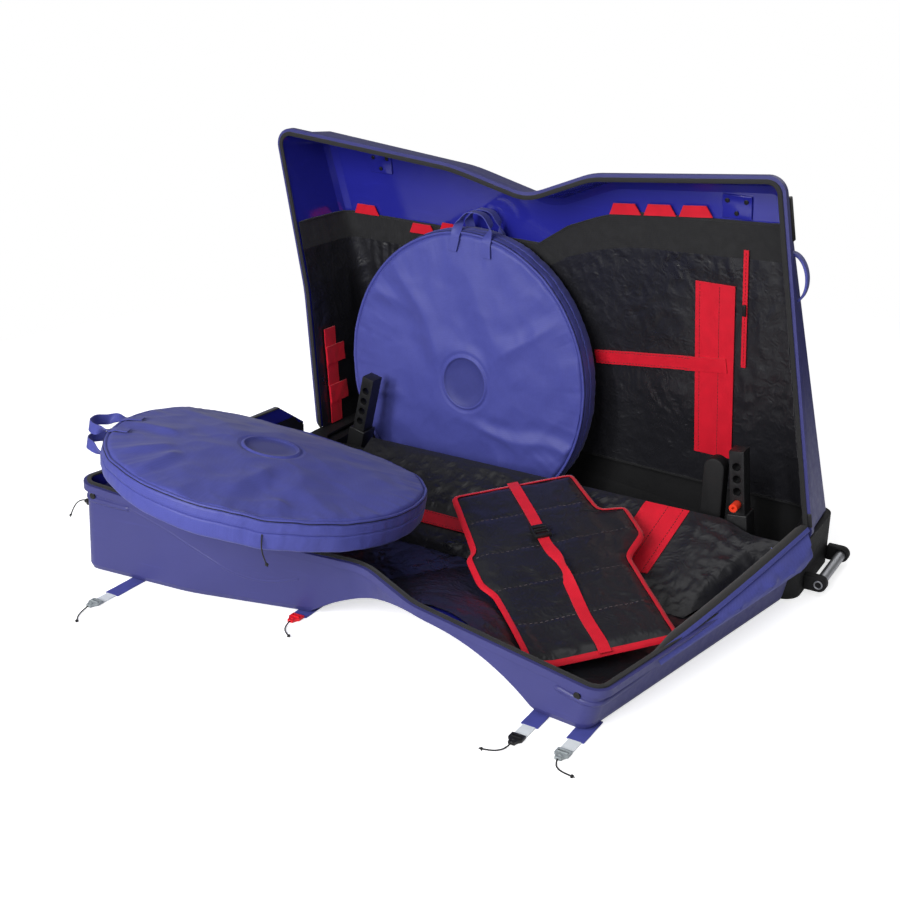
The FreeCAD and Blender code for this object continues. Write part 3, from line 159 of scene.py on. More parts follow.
def grain_group():
    """Fine moulded grain with slow drift: a height and a tint mask."""
    tree, given, out = shader_group(
        "MouldedGrain", [("Vector", "NodeSocketVector", None), ("Scale", "NodeSocketFloat", 900.0)],
        ["Height", "Tint"])
    fine = add_node(tree, "ShaderNodeTexNoise", Vector=given.outputs["Vector"], Scale=given.outputs["Scale"],
                    Detail=3.0, Roughness=0.6)
    slow = add_node(tree, "ShaderNodeTexNoise", Vector=given.outputs["Vector"], Scale=7.0, Detail=4.0)
    tree.links.new(fine.outputs[0], out.inputs["Height"])
    tree.links.new(slow.outputs[0], out.inputs["Tint"])
    return tree


def weave_group():
    """Plain weave of two thread directions: a height and a mask of the deep points, where the finishes paint shade
    into the weave's hollows.
    """
    tree, given, out = shader_group(
        "PlainWeave", [("Vector", "NodeSocketVector", None), ("Threads", "NodeSocketFloat", 700.0)],
        ["Height", "Hollow"])
    parts = add_node(tree, "ShaderNodeSeparateXYZ", Vector=given.outputs["Vector"])
    waves = []
    for axis in ("X", "Y", "Z"):
        turn = maths(tree, "MULTIPLY", parts.outputs[axis], given.outputs["Threads"])
        waves.append(maths(tree, "SINE", maths(tree, "MULTIPLY", turn, math.pi)))
    cross = maths(tree, "MULTIPLY", waves[0], waves[2])
    cross = maths(tree, "ADD", cross, maths(tree, "MULTIPLY", waves[1], waves[2]))
    height = maths(tree, "MULTIPLY_ADD", cross, 0.25)
    tree.links.new(height, out.inputs["Height"])
    tree.links.new(maths(tree, "LESS_THAN", cross, -0.4), out.inputs["Hollow"])
    return tree


def crease_group():
    """Sharp random creases of coated cloth: a height and a mask of the crests."""
    tree, given, out = shader_group(
        "ClothCreases", [("Vector", "NodeSocketVector", None), ("Scale", "NodeSocketFloat", 30.0)],
        ["Height", "Crest"])
    bent = add_node(tree, "ShaderNodeTexNoise", Vector=given.outputs["Vector"], Scale=9.0, Detail=2.0)
    shifted = add_node(tree, "ShaderNodeVectorMath", {"operation": "MULTIPLY_ADD"}, i0=bent.outputs["Color"],
                       i1=(0.09, 0.09, 0.09), i2=given.outputs["Vector"])
    ridges = add_node(tree, "ShaderNodeTexNoise", {"noise_type": "RIDGED_MULTIFRACTAL"},
                      Vector=shifted.outputs[0], Scale=given.outputs["Scale"], Detail=4.0, Roughness=0.55)
    tree.links.new(ridges.outputs[0], out.inputs["Height"])
    tree.links.new(spread(tree, ridges.outputs[0], 0.0, 1.0, 0.55, 1.1), out.inputs["Crest"])
    return tree


def rib_group():
    """Webbing ribs along one direction with a small cross rib: a height and a shade mask."""
    tree, given, out = shader_group(
        "WebbingRibs", [("Vector", "NodeSocketVector", None), ("Ribs", "NodeSocketFloat", 420.0)],
        ["Height", "Shade"])
    parts = add_node(tree, "ShaderNodeSeparateXYZ", Vector=given.outputs["Vector"])
    total = maths(tree, "ADD", parts.outputs["X"], parts.outputs["Z"])
    total = maths(tree, "ADD", total, parts.outputs["Y"])
    other = maths(tree, "SUBTRACT", parts.outputs["X"], parts.outputs["Z"])
    waves = []
    for way in (total, other):
        turn = maths(tree, "MULTIPLY", maths(tree, "MULTIPLY", way, given.outputs["Ribs"]), math.pi)
        waves.append(maths(tree, "SINE", turn))
    both = maths(tree, "ADD", waves[0], maths(tree, "MULTIPLY", waves[1], 0.5))
    tree.links.new(maths(tree, "MULTIPLY_ADD", both, 0.3), out.inputs["Height"])
    blotch = add_node(tree, "ShaderNodeTexNoise", Vector=given.outputs["Vector"], Scale=45.0, Detail=3.0)
    tree.links.new(blotch.outputs[0], out.inputs["Shade"])
    return tree


def scuff_group():
    """Handling marks: a mask of faint drawn-out scratches and dust."""
    tree, given, out = shader_group(
        "HandlingMarks", [("Vector", "NodeSocketVector", None), ("Scale", "NodeSocketFloat", 16.0)],
        ["Marks", "Dust"])
    drawn = add_node(tree, "ShaderNodeMapping", Vector=given.outputs["Vector"], Scale=(1.0, 6.0, 14.0))
    lines = add_node(tree, "ShaderNodeTexNoise", Vector=drawn.outputs[0], Scale=given.outputs["Scale"],
                     Detail=6.0)
    dust = add_node(tree, "ShaderNodeTexNoise", Vector=given.outputs["Vector"], Scale=60.0, Detail=8.0,
                    Roughness=0.7)
    tree.links.new(spread(tree, lines.outputs[0], 0.0, 1.0, 0.6, 0.78), out.inputs["Marks"])
    tree.links.new(dust.outputs[0], out.inputs["Dust"])
    return tree


GROUP_MAKERS = {"MouldedGrain": grain_group, "PlainWeave": weave_group, "ClothCreases": crease_group,
                "WebbingRibs": rib_group, "HandlingMarks": scuff_group}


# Finishes, one for each slot of the record

def new_finish(name, colour, **sockets):
    material = bpy.data.materials.new(name)
    material.use_nodes = True
    tree = material.node_tree
    shader = tree.nodes["Principled BSDF"]
    shader.inputs["Base Color"].default_value = (*colour, 1.0)
    for key, value in sockets.items():
        shader.inputs[key.replace("_", " ")].default_value = value
    place = tree.nodes.new("ShaderNodeTexCoord").outputs["Object"]
    return material, tree, shader, place


def use_group(tree, name, vector, **inputs):
    shared = bpy.data.node_groups.get(name) or GROUP_MAKERS[name]()
    node = tree.nodes.new("ShaderNodeGroup")
    node.node_tree = shared
    tree.links.new(vector, node.inputs["Vector"])
    for key, value in inputs.items():
        node.inputs[key].default_value = value
    return node


def mix_colour(tree, mask, low, high):
    blend = add_node(tree, "ShaderNodeMix", {"data_type": "RGBA"})
    tree.links.new(mask, blend.inputs["Factor"])
    for label, value in (("A", low), ("B", high)):
        socket = next(s for s in blend.inputs if s.name == label and s.type == "RGBA")
        if isinstance(value, bpy.types.NodeSocket):
            tree.links.new(value, socket)
        else:
            socket.default_value = (*value, 1.0)
    return next(s for s in blend.outputs if s.type == "RGBA")


def spread(tree, value, low, high, start=0.0, end=1.0):
    ranged = add_node(tree, "ShaderNodeMapRange", Value=value)
    for label, number in (("From Min", start), ("From Max", end), ("To Min", low), ("To Max", high)):
        ranged.inputs[label].default_value = number
    return ranged.outputs[0]


def bumped(tree, shader, height, strength, distance, below=None):
    bump = add_node(tree, "ShaderNodeBump", Height=height, Strength=strength, Distance=distance)
    if below is not None:
        tree.links.new(below.outputs[0], bump.inputs["Normal"])
    tree.links.new(bump.outputs[0], shader.inputs["Normal"])
    return bump


def shade(colour, share):
    return tuple(min(1.0, part * share) for part in colour)


def shell_finish(name, colour, low, high, coat):
    material, tree, shader, place = new_finish(name, colour, Coat_Weight=coat, Coat_Roughness=0.12,
                                               Specular_IOR_Level=0.32)
    grain = use_group(tree, "MouldedGrain", place, Scale=650.0)
    marks = use_group(tree, "HandlingMarks", place, Scale=9.0)
    body = mix_colour(tree, grain.outputs["Tint"], shade(colour, 0.9), shade(colour, 1.12))
    pale = mix_colour(tree, spread(tree, marks.outputs["Marks"], 0.0, 0.12), body, shade(colour, 2.2))
    tree.links.new(pale, shader.inputs["Base Color"])
    tree.links.new(spread(tree, marks.outputs["Dust"], low, high, 0.3, 0.7), shader.inputs["Roughness"])
    bumped(tree, shader, grain.outputs["Height"], 0.10, 0.0006)
    return material


def nylon_finish(name, colour, share):
    colour = shade(colour, share)
    material, tree, shader, place = new_finish(name, colour, Sheen_Weight=0.1, Sheen_Roughness=0.4,
                                               Specular_IOR_Level=0.3)
    weave = use_group(tree, "PlainWeave", place, Threads=640.0)
    crease = use_group(tree, "ClothCreases", place, Scale=16.0)
    dirt = use_group(tree, "HandlingMarks", place, Scale=7.0)
    # Painted shade: the weave's hollows are darkened to 0.78 of the nylon colour.
    thread = mix_colour(tree, weave.outputs["Hollow"], colour, shade(colour, 0.78))
    worn = spread(tree, dirt.outputs["Dust"], 0.0, 0.35, 0.35, 0.75)
    body = mix_colour(tree, worn, thread, shade(colour, 1.25))
    tree.links.new(body, shader.inputs["Base Color"])
    tree.links.new(spread(tree, crease.outputs["Crest"], 0.52, 0.40), shader.inputs["Roughness"])
    fine = bumped(tree, shader, weave.outputs["Height"], 0.12, 0.0005)
    bumped(tree, shader, crease.outputs["Height"], 0.3, 0.0026, fine)
    return material


def lining_finish(name, colour):
    material, tree, shader, place = new_finish(name, colour, Specular_IOR_Level=0.6)
    broad = use_group(tree, "ClothCreases", place, Scale=26.0)
    crease = use_group(tree, "ClothCreases", place, Scale=74.0)
    grain = use_group(tree, "MouldedGrain", place, Scale=420.0)
    # Painted highlight: the crests of the creases are lightened towards 2.4 times the lining colour, standing in
    # for the sheen of the coated cloth.
    body = mix_colour(tree, spread(tree, crease.outputs["Crest"], 0.0, 0.5), colour, shade(colour, 2.4))
    tree.links.new(body, shader.inputs["Base Color"])
    tree.links.new(spread(tree, grain.outputs["Tint"], 0.25, 0.42, 0.3, 0.7), shader.inputs["Roughness"])
    fine = bumped(tree, shader, grain.outputs["Height"], 0.15, 0.0006)
    small = bumped(tree, shader, crease.outputs["Height"], 0.55, 0.0024, fine)
    bumped(tree, shader, broad.outputs["Height"], 0.5, 0.0045, small)
    return material


def cloth_finish(name, colour, threads, rough):
    material, tree, shader, place = new_finish(name, colour, Sheen_Weight=0.15, Sheen_Roughness=0.5,
                                               Specular_IOR_Level=0.3)
    weave = use_group(tree, "PlainWeave", place, Threads=threads)
    dirt = use_group(tree, "HandlingMarks", place, Scale=8.0)
    # Painted shade: the weave's hollows are darkened to 0.6 of the cloth colour.
    body = mix_colour(tree, weave.outputs["Hollow"], colour, shade(colour, 0.6))
    worn = mix_colour(tree, spread(tree, dirt.outputs["Dust"], 0.0, 0.5, 0.45, 0.8), body, shade(colour, 1.9))
    tree.links.new(worn, shader.inputs["Base Color"])
    tree.links.new(spread(tree, dirt.outputs["Dust"], rough - 0.06, rough + 0.06), shader.inputs["Roughness"])
    bumped(tree, shader, weave.outputs["Height"], 0.3, 0.0006)
    return material


def webbing_finish(name, colour, ribs):
    material, tree, shader, place = new_finish(name, colour, Sheen_Weight=0.2, Sheen_Roughness=0.4,
                                               Specular_IOR_Level=0.35)
    rib = use_group(tree, "WebbingRibs", place, Ribs=ribs)
    body = mix_colour(tree, rib.outputs["Shade"], shade(colour, 0.80), shade(colour, 1.12))
    tree.links.new(body, shader.inputs["Base Color"])
    tree.links.new(spread(tree, rib.outputs["Shade"], 0.5, 0.68), shader.inputs["Roughness"])
    bumped(tree, shader, rib.outputs["Height"], 0.35, 0.0007)
    return material


def moulded_finish(name, colour, low, high, grain_scale, bump):
    material, tree, shader, place = new_finish(name, colour, Specular_IOR_Level=0.35)
    grain = use_group(tree, "MouldedGrain", place, Scale=grain_scale)
    marks = use_group(tree, "HandlingMarks", place, Scale=26.0)
    body = mix_colour(tree, grain.outputs["Tint"], shade(colour, 0.8), shade(colour, 1.25))
    worn = mix_colour(tree, spread(tree, marks.outputs["Marks"], 0.0, 0.3), body, shade(colour, 3.0))
    tree.links.new(worn, shader.inputs["Base Color"])
    tree.links.new(spread(tree, marks.outputs["Dust"], low, high, 0.3, 0.7), shader.inputs["Roughness"])
    bumped(tree, shader, grain.outputs["Height"], bump, 0.0006)
    return material


def metal_finish(name, colour, low, high):
    material, tree, shader, place = new_finish(name, colour, Metallic=1.0)
    drawn = add_node(tree, "ShaderNodeMapping", Vector=place, Scale=(260.0, 6.0, 260.0))
    brushed = add_node(tree, "ShaderNodeTexNoise", Vector=drawn.outputs[0], Scale=4.0, Detail=4.0)
    body = mix_colour(tree, brushed.outputs[0], shade(colour, 0.85), shade(colour, 1.1))
    tree.links.new(body, shader.inputs["Base Color"])
    tree.links.new(spread(tree, brushed.outputs[0], low, high, 0.3, 0.7), shader.inputs["Roughness"])
    bumped(tree, shader, brushed.outputs[0], 0.12, 0.0004)
    return material


FINISHES = {
    # maker, material, colour or the name of a setting, then the maker's own values
    "shell_purple": (shell_finish, "MouldingPurple", "shell", 0.30, 0.50, 0.03),
    "shell_inner": (shell_finish, "MouldingInnerBlue", "shell_inside", 0.07, 0.13, 0.7),
    "nylon_purple": (nylon_finish, "NylonPurple", "nylon", 1.0),
    # painted shade: a darker copy of the nylon for the bags' hub discs and capped middles
    "nylon_hub": (nylon_finish, "NylonHub", "nylon", 0.72),
    # painted shade: a near-black copy of the nylon for the tube in the concave between piping and gusset
    "nylon_seam": (nylon_finish, "NylonSeam", "nylon", 0.10),
    "lining_black": (lining_finish, "CoatedLining", "lining"),
    "binding_black": (cloth_finish, "BindingBlack", (0.013, 0.013, 0.014), 520.0, 0.72),
    "cord_black": (cloth_finish, "CordBraid", (0.009, 0.009, 0.010), 900.0, 0.66),
    "thread_dark": (cloth_finish, "ThreadDark", (0.055, 0.004, 0.007), 900.0, 0.6),
    "thread_grey": (cloth_finish, "ThreadGrey", (0.11, 0.085, 0.09), 900.0, 0.6),
    "webbing_red": (webbing_finish, "WebbingRed", "red", 430.0),
    "webbing_white": (webbing_finish, "WebbingWhite", "white", 430.0),
    "base_black": (moulded_finish, "BaseGrain", (0.0062, 0.0062, 0.0070), 0.55, 0.72, 800.0, 0.4),
    "fitting_black": (moulded_finish, "FittingSatin", "fitting", 0.34, 0.48, 1200.0, 0.15),
    "hook_grey": (moulded_finish, "HookGrey", (0.26, 0.29, 0.30), 0.32, 0.46, 1200.0, 0.15),
    "hook_red": (moulded_finish, "HookRed", (0.70, 0.012, 0.020), 0.30, 0.42, 1200.0, 0.1),
    "pin_red": (moulded_finish, "PinRed", (0.78, 0.045, 0.015), 0.28, 0.40, 1200.0, 0.1),
    "tyre_rubber": (moulded_finish, "TyreRubber", (0.018, 0.018, 0.018), 0.62, 0.80, 700.0, 0.5),
    "rivet_black": (moulded_finish, "RivetBlack", (0.008, 0.008, 0.008), 0.30, 0.42, 1500.0, 0.1),
    "tube_aluminium": (metal_finish, "TubeAluminium", (0.46, 0.47, 0.50), 0.34, 0.48),
    "axle_steel": (metal_finish, "AxleSteel", (0.54, 0.55, 0.57), 0.22, 0.36),
}
MADE = {}


def finish_of(slot):
    if slot not in MADE:
        maker, name, colour, *values = FINISHES[slot]
        if isinstance(colour, str):
            colour = getattr(bpy.context.scene.case_colours, colour)
        MADE[slot] = maker(name, colour, *values)
    return MADE[slot]


# Modelling helpers

MERGE_GAP = 0.00001
FLAT_DEGREES = 1.0
SHARP_DEGREES = 40.0
HOOK_DEGREES = 35.0
PATCH_DEGREES = 50.0
ROUND_DEGREES = 60.0
BAND_DEGREES = 70.0
BAG_DEGREES = 75.0
CLOTH_DEGREES = 80.0
SWELL_FINE = 2.3
CAST_REACH = 0.02
THREAD_RADIUS = 0.0007
PAD_THREAD_RADIUS = 0.0006
TUBE_TIP = 0.35
SEAM_STITCH = 0.005
SEAM_PITCH = 0.008


def deselect():
    bpy.ops.object.select_all(action="DESELECT")


def activate(obj):
    deselect()
    obj.select_set(True)
    bpy.context.view_layer.objects.active = obj


def modify(obj, kind, **values):
    activate(obj)
    modifier = obj.modifiers.new(kind.title(), kind)
    for key, value in values.items():
        setattr(modifier, key, value)
    bpy.ops.object.modifier_apply(modifier=modifier.name)


def smooth(obj, degrees=SHARP_DEGREES):
    activate(obj)
    bpy.ops.object.shade_smooth_by_angle(angle=math.radians(degrees))


def linked(name, mesh):
    obj = bpy.data.objects.new(name, mesh)
    bpy.context.scene.collection.objects.link(obj)
    return obj


def settle(obj, body, slot, *nodes, finish=None):
    """Gives a piece the finish of its slot, or the finish named, unless it has one already, puts it under its
    body, and hides the nodes that it stands for.
    """
    if not obj.data.materials:
        obj.data.materials.append(finish_of(finish or slot))
    if nodes:
        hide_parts(*nodes)
    if body:
        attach(obj, body)
    return obj


def grid_piece(name, rows, wrap=False):
    """A mesh from rows of points, with a UV map in metres."""
    wide = len(rows[0])
    span = wide if wrap else wide - 1
    faces = []
    corners = []
    for r in range(len(rows) - 1):
        for c in range(span):
            d = (c + 1) % wide
            faces.append((r * wide + c, r * wide + d, (r + 1) * wide + d, (r + 1) * wide + c))
            corners += [(c, r), (c + 1, r), (c + 1, r + 1), (c, r + 1)]
    middle = rows[len(rows) // 2]
    step_u = sum((middle[c] - middle[c - 1]).length for c in range(1, wide)) / max(wide - 1, 1)
    column = [row[wide // 2] for row in rows]
    step_v = sum((column[r] - column[r - 1]).length for r in range(1, len(rows))) / (len(rows) - 1)
    mesh = bpy.data.meshes.new(name)
    mesh.from_pydata([p for row in rows for p in row], [], faces)
    layer = mesh.uv_layers.new(name="UVMap")
    for loop, (u, v) in zip(layer.data, corners):
        loop.uv = (u * step_u, v * step_v)
    return linked(name, mesh)


def edited(obj, *steps):
    """Runs mesh operators over the whole of a piece, each with its settings."""
    activate(obj)
    bpy.ops.object.mode_set(mode="EDIT")
    bpy.ops.mesh.select_all(action="SELECT")
    for step, settings in steps:
        step(**settings)
    bpy.ops.object.mode_set(mode="OBJECT")


MERGE = (bpy.ops.mesh.remove_doubles, {"threshold": MERGE_GAP})
FACE_OUT = (bpy.ops.mesh.normals_make_consistent, {"inside": False})


def outward(obj):
    edited(obj, MERGE, FACE_OUT)


def close_ends(obj, closing=bpy.ops.mesh.edge_face_add):
    """Closes a piece's open rims and turns its faces outwards."""
    activate(obj)
    bpy.ops.object.mode_set(mode="EDIT")
    bpy.ops.mesh.select_all(action="DESELECT")
    bpy.ops.mesh.select_mode(type="EDGE")
    bpy.ops.mesh.select_non_manifold()
    closing()
    bpy.ops.object.mode_set(mode="OBJECT")
    edited(obj, FACE_OUT)


def mesh_tree(mesh):
    return BVHTree.FromPolygons([v.co for v in mesh.vertices], [face.vertices for face in mesh.polygons])


def node_copy(node, name):
    """A clean copy of a CAD node: merged, with its flat faces whole."""
    mesh = NODES[node].data.copy()
    mesh.name = name
    mesh.materials.clear()
    obj = linked(name, mesh)
    activate(obj)
    bpy.ops.mesh.customdata_custom_splitnormals_clear()
    edited(obj, MERGE, (bpy.ops.mesh.dissolve_limited, {"angle_limit": math.radians(FLAT_DEGREES)}))
    return obj


def rounded_node(node, name, bevel, segments=3):
    """The node with its sharp edges rounded as a moulding's are."""
    obj = node_copy(node, name)
    modify(obj, "BEVEL", width=bevel, segments=segments, limit_method="ANGLE",
           angle_limit=math.radians(SHARP_DEGREES), use_clamp_overlap=True)
    smooth(obj)
    return settle(obj, BODY_OF[node], SLOT_OF[node], node)


def cloth_node(node, name, cuts, wave, period, seams=()):
    """The node's flat patches as soft cloth: finely divided and gently waved off what carries them.

    Seams are shares of the half width at which a row of stitches runs along the largest patch.
    """
    obj = node_copy(node, name)
    largest = max(obj.data.polygons, key=lambda face: face.area)
    away = largest.normal.copy()
    corners = [obj.data.vertices[i].co.copy() for i in largest.vertices]
    if away.y > 0 or away.z < -abs(away.y):
        away.negate()
    edited(obj, (bpy.ops.mesh.subdivide, {"number_cuts": cuts}))
    for vertex in obj.data.vertices:
        swell = noise.noise(vertex.co / period) + 0.5 * noise.noise(vertex.co / period * SWELL_FINE)
        vertex.co += away * wave * max(0.0, 0.5 + 0.5 * swell)
    smooth(obj, PATCH_DEGREES)
    settle(obj, BODY_OF[node], SLOT_OF[node], node)
    if seams and len(corners) == 4:
        sew_patch(obj, corners, away, seams, BODY_OF[node])
    return obj


def sew_patch(obj, corners, away, seams, body):
    """Rows of stitches along a patch, laid on its waved face."""
    if (corners[1] - corners[0]).length < (corners[2] - corners[1]).length:
        corners = corners[1:] + corners[:1]
    tree = mesh_tree(obj.data)
    bars = []
    for share in seams:
        start = mixed(corners[0], corners[3], 0.5 + share / 2)
        end = mixed(corners[1], corners[2], 0.5 + share / 2)
        inset = (end - start).normalized() * SEAM_STITCH
        for a, b, up in stitch_bars(start + inset, end - inset, away, SEAM_STITCH, SEAM_PITCH):
            low = tree.ray_cast(a + away * CAST_REACH, -away)[0] or a
            high = tree.ray_cast(b + away * CAST_REACH, -away)[0] or b
            bars.append((low, high, up))
    thread = thread_piece(obj.name + "_thread", bars, THREAD_RADIUS)
    settle(thread, body, "cord_black", finish="thread_dark")


def mixed(a, b, share):
    return a + (b - a) * share


def eased(share):
    share = min(1.0, max(0.0, share))
    return share * share * (3.0 - 2.0 * share)


def curve_through(points, steps):
    """A smooth line through a few points."""
    line = []
    last = len(points) - 1
    for i in range(last):
        p0, p1, p2, p3 = points[max(i - 1, 0)], points[i], points[i + 1], points[min(i + 2, last)]
        for k in range(steps):
            t = k / steps
            line.append(0.5 * (2 * p1 + (p2 - p0) * t + (2 * p0 - 5 * p1 + 4 * p2 - p3) * t * t
                               + (3 * p1 - 3 * p2 + p3 - p0) * t * t * t))
    line.append(points[-1].copy())
    return line


def ribbon(name, stations, thickness, steps=8, across=4):
    """Flat webbing through stations of a centre and a half-width direction."""
    centres = curve_through([Vector(s[0]) for s in stations], steps)
    widths = curve_through([Vector(s[1]) for s in stations], steps)
    reach = sum(Vector(s[1]).length for s in stations) / len(stations)
    rows = []
    for centre, width in zip(centres, widths):
        side = width.normalized() * reach
        rows.append([centre + side * (2.0 * k / across - 1.0) for k in range(across + 1)])
    obj = grid_piece(name, rows)
    modify(obj, "SOLIDIFY", thickness=thickness, offset=0.0)
    smooth(obj, ROUND_DEGREES)
    return obj


def thread_piece(name, bars, radius):
    """Stitches as short straight bars, each given by its ends and the side it shows."""
    verts, faces = [], []
    for start, end, up in bars:
        base = len(verts)
        side = (end - start).cross(up).normalized() * radius
        rise = up.normalized() * radius
        for point in (start, end):
            verts += [point - side, point + rise, point + side, point - rise]
        for k in range(4):
            faces.append((base + k, base + (k + 1) % 4, base + 4 + (k + 1) % 4, base + 4 + k))
        faces.append((base + 3, base + 2, base + 1, base))
        faces.append((base + 4, base + 5, base + 6, base + 7))
    mesh = bpy.data.meshes.new(name)
    mesh.from_pydata(verts, [], faces)
    thread = linked(name, mesh)
    outward(thread)
    return thread


def stitch_bars(start, end, up, long, pitch):
    count = max(1, int((end - start).length / pitch))
    along = (end - start).normalized() * long / 2
    return [(mixed(start, end, (k + 0.5) / count) - along, mixed(start, end, (k + 0.5) / count) + along, up)
            for k in range(count)]


def tube_piece(name, line, radius, sides=10):
    """A round cord of cloth or a moulded bead along a line, closed at its ends."""
    rows = []
    last = len(line) - 1
    across = None
    for i, here in enumerate(line):
        along = (line[min(i + 1, last)] - line[max(i - 1, 0)]).normalized()
        if across is None:
            across = along.orthogonal().normalized()
        across = (across - along * across.dot(along)).normalized()
        other = along.cross(across)
        taper = TUBE_TIP if i in (0, last) else 1.0
        ring = []
        for k in range(sides):
            angle = 2 * math.pi * k / sides
            ring.append(here + (across * math.cos(angle) + other * math.sin(angle)) * radius * taper)
        rows.append(ring)
    tube = grid_piece(name, rows, wrap=True)
    close_ends(tube)
    smooth(tube, ROUND_DEGREES)
    return tube


def torus(ring, tube, around, section, place=(0, 0, 0), turn=(0, 0, 0)):
    deselect()
    bpy.ops.mesh.primitive_torus_add(major_radius=ring, minor_radius=tube, major_segments=around,
                                     minor_segments=section, location=place, rotation=turn)
    bpy.ops.object.transform_apply(location=True, rotation=True, scale=True)
    return bpy.context.active_object


def joined(name, parts):
    activate(parts[0])
    for part in parts:
        part.select_set(True)
    if len(parts) > 1:
        bpy.ops.object.join()
    parts[0].name = name
    parts[0].data.name = name
    return parts[0]


def placed(obj, matrix):
    """Moves a mesh by its points, so its object stays at the origin."""
    obj.data.transform(matrix)
    return obj


# Stage

CAMERA_PLACE = Vector((1.27638, -2.48082, 1.29478))
CAMERA_AIM = Vector((-0.48534, 0.79279, -0.36869))
CAMERA_ROLL = math.radians(0.173)
CAMERA_LENS_MM = 51.58
SENSOR_MM = 36.0
LAMPS = (
    # name, place, aim, size, power
    ("KeySoftbox", (-0.5, -4.4, 2.4), (0.0, -0.1, 0.35), (2.8, 2.2), 165.0),
    ("FillSoftbox", (2.6, -3.6, 1.6), (0.0, -0.1, 0.3), (1.4, 1.8), 22.0),
    ("TopSoftbox", (0.2, -0.8, 3.6), (0.0, -0.2, 0.2), (3.0, 2.0), 14.0),
    ("StripLeft", (-0.9, -3.0, 1.6), (-0.6, 0.1, 0.7), (0.12, 1.8), 26.0),
    ("BackSoftbox", (0.8, 3.2, 2.6), (0.0, 0.0, 0.4), (2.6, 1.6), 16.0),
)
FLOOR_REACH = 14.0
FLOOR_COLOUR = (0.86, 0.86, 0.87)
FLOOR_AWAY = (0.0, 0.0, 0.0)
FLOOR_LIFT = 0.62
FLOOR_NEAR = 1.15
FLOOR_FAR = 2.3
SKY_LOW = 0.56
SKY_HIGH = 0.24
SKY_MIRRORED = 0.45


class CASE_OT_stage(bpy.types.Operator):
    """Camera, pale floor, soft lamps and world"""
    bl_idname = "case.stage"
    bl_label = "Stage"

    def execute(self, context):
        scene = context.scene
        scene.view_settings.view_transform = "Standard"
        lens = bpy.data.cameras.new("PhotoCamera")
        lens.lens = CAMERA_LENS_MM
        lens.sensor_width = SENSOR_MM
        lens.dof.use_dof = False
        camera = linked("PhotoCamera", lens)
        facing = CAMERA_AIM.to_track_quat("-Z", "Y").to_matrix().to_4x4()
        roll = Matrix.Rotation(CAMERA_ROLL, 4, "Z")
        camera.matrix_world = Matrix.Translation(CAMERA_PLACE) @ facing @ roll
        scene.camera = camera
        self.add_floor()
        for name, place, aim, reach, power in LAMPS:
            lamp = bpy.data.lights.new(name, "AREA")
            lamp.shape = "RECTANGLE"
            lamp.size = reach[0]
            lamp.size_y = reach[1]
            lamp.energy = power
            holder = linked(name, lamp)
            turn = (Vector(aim) - Vector(place)).to_track_quat("-Z", "Y").to_matrix().to_4x4()
            holder.matrix_world = Matrix.Translation(place) @ turn
        self.add_world(scene)
        return {"FINISHED"}

    def add_floor(self):
        deselect()
        bpy.ops.mesh.primitive_plane_add(size=FLOOR_REACH, location=(0, 0, 0))
        floor = bpy.context.active_object
        floor.name = "StudioFloor"
        material = bpy.data.materials.new("StudioFloor")
        material.use_nodes = True
        tree = material.node_tree
        tree.nodes.clear()
        place = tree.nodes.new("ShaderNodeTexCoord").outputs["Object"]
        reach = add_node(tree, "ShaderNodeVectorMath", {"operation": "LENGTH"}, i0=place).outputs["Value"]
        away = spread(tree, reach, 0.0, 1.0, FLOOR_NEAR, FLOOR_FAR)
        paint = mix_colour(tree, away, FLOOR_COLOUR, FLOOR_AWAY)
        paper = add_node(tree, "ShaderNodeBsdfDiffuse", Color=paint)
        path = tree.nodes.new("ShaderNodeLightPath")
        seen = path.outputs["Is Camera Ray"]
        glow = add_node(tree, "ShaderNodeEmission",
                        Strength=maths(tree, "MULTIPLY", seen, spread(tree, away, FLOOR_LIFT, 1.0)))
        both = tree.nodes.new("ShaderNodeAddShader")
        tree.links.new(paper.outputs[0], both.inputs[0])
        tree.links.new(glow.outputs[0], both.inputs[1])
        out = tree.nodes.new("ShaderNodeOutputMaterial")
        tree.links.new(both.outputs[0], out.inputs["Surface"])
        floor.data.materials.append(material)

    def add_world(self, scene):
        world = bpy.data.worlds.new("StudioWorld")
        scene.world = world
        world.use_nodes = True
        tree = world.node_tree
        light = tree.nodes["Background"]
        light.inputs["Color"].default_value = (1.0, 1.0, 1.0, 1.0)
        direction = tree.nodes.new("ShaderNodeTexCoord").outputs["Generated"]
        height = add_node(tree, "ShaderNodeSeparateXYZ", Vector=direction).outputs["Z"]
        sky = spread(tree, height, SKY_LOW, SKY_HIGH)
        path = tree.nodes.new("ShaderNodeLightPath")
        mirror = spread(tree, path.outputs["Is Glossy Ray"], 1.0, SKY_MIRRORED)
        level = maths(tree, "MAXIMUM", maths(tree, "MULTIPLY", sky, mirror), path.outputs["Is Camera Ray"])
        tree.links.new(level, light.inputs["Strength"])


# Pull cords, by the same route points as the model's source

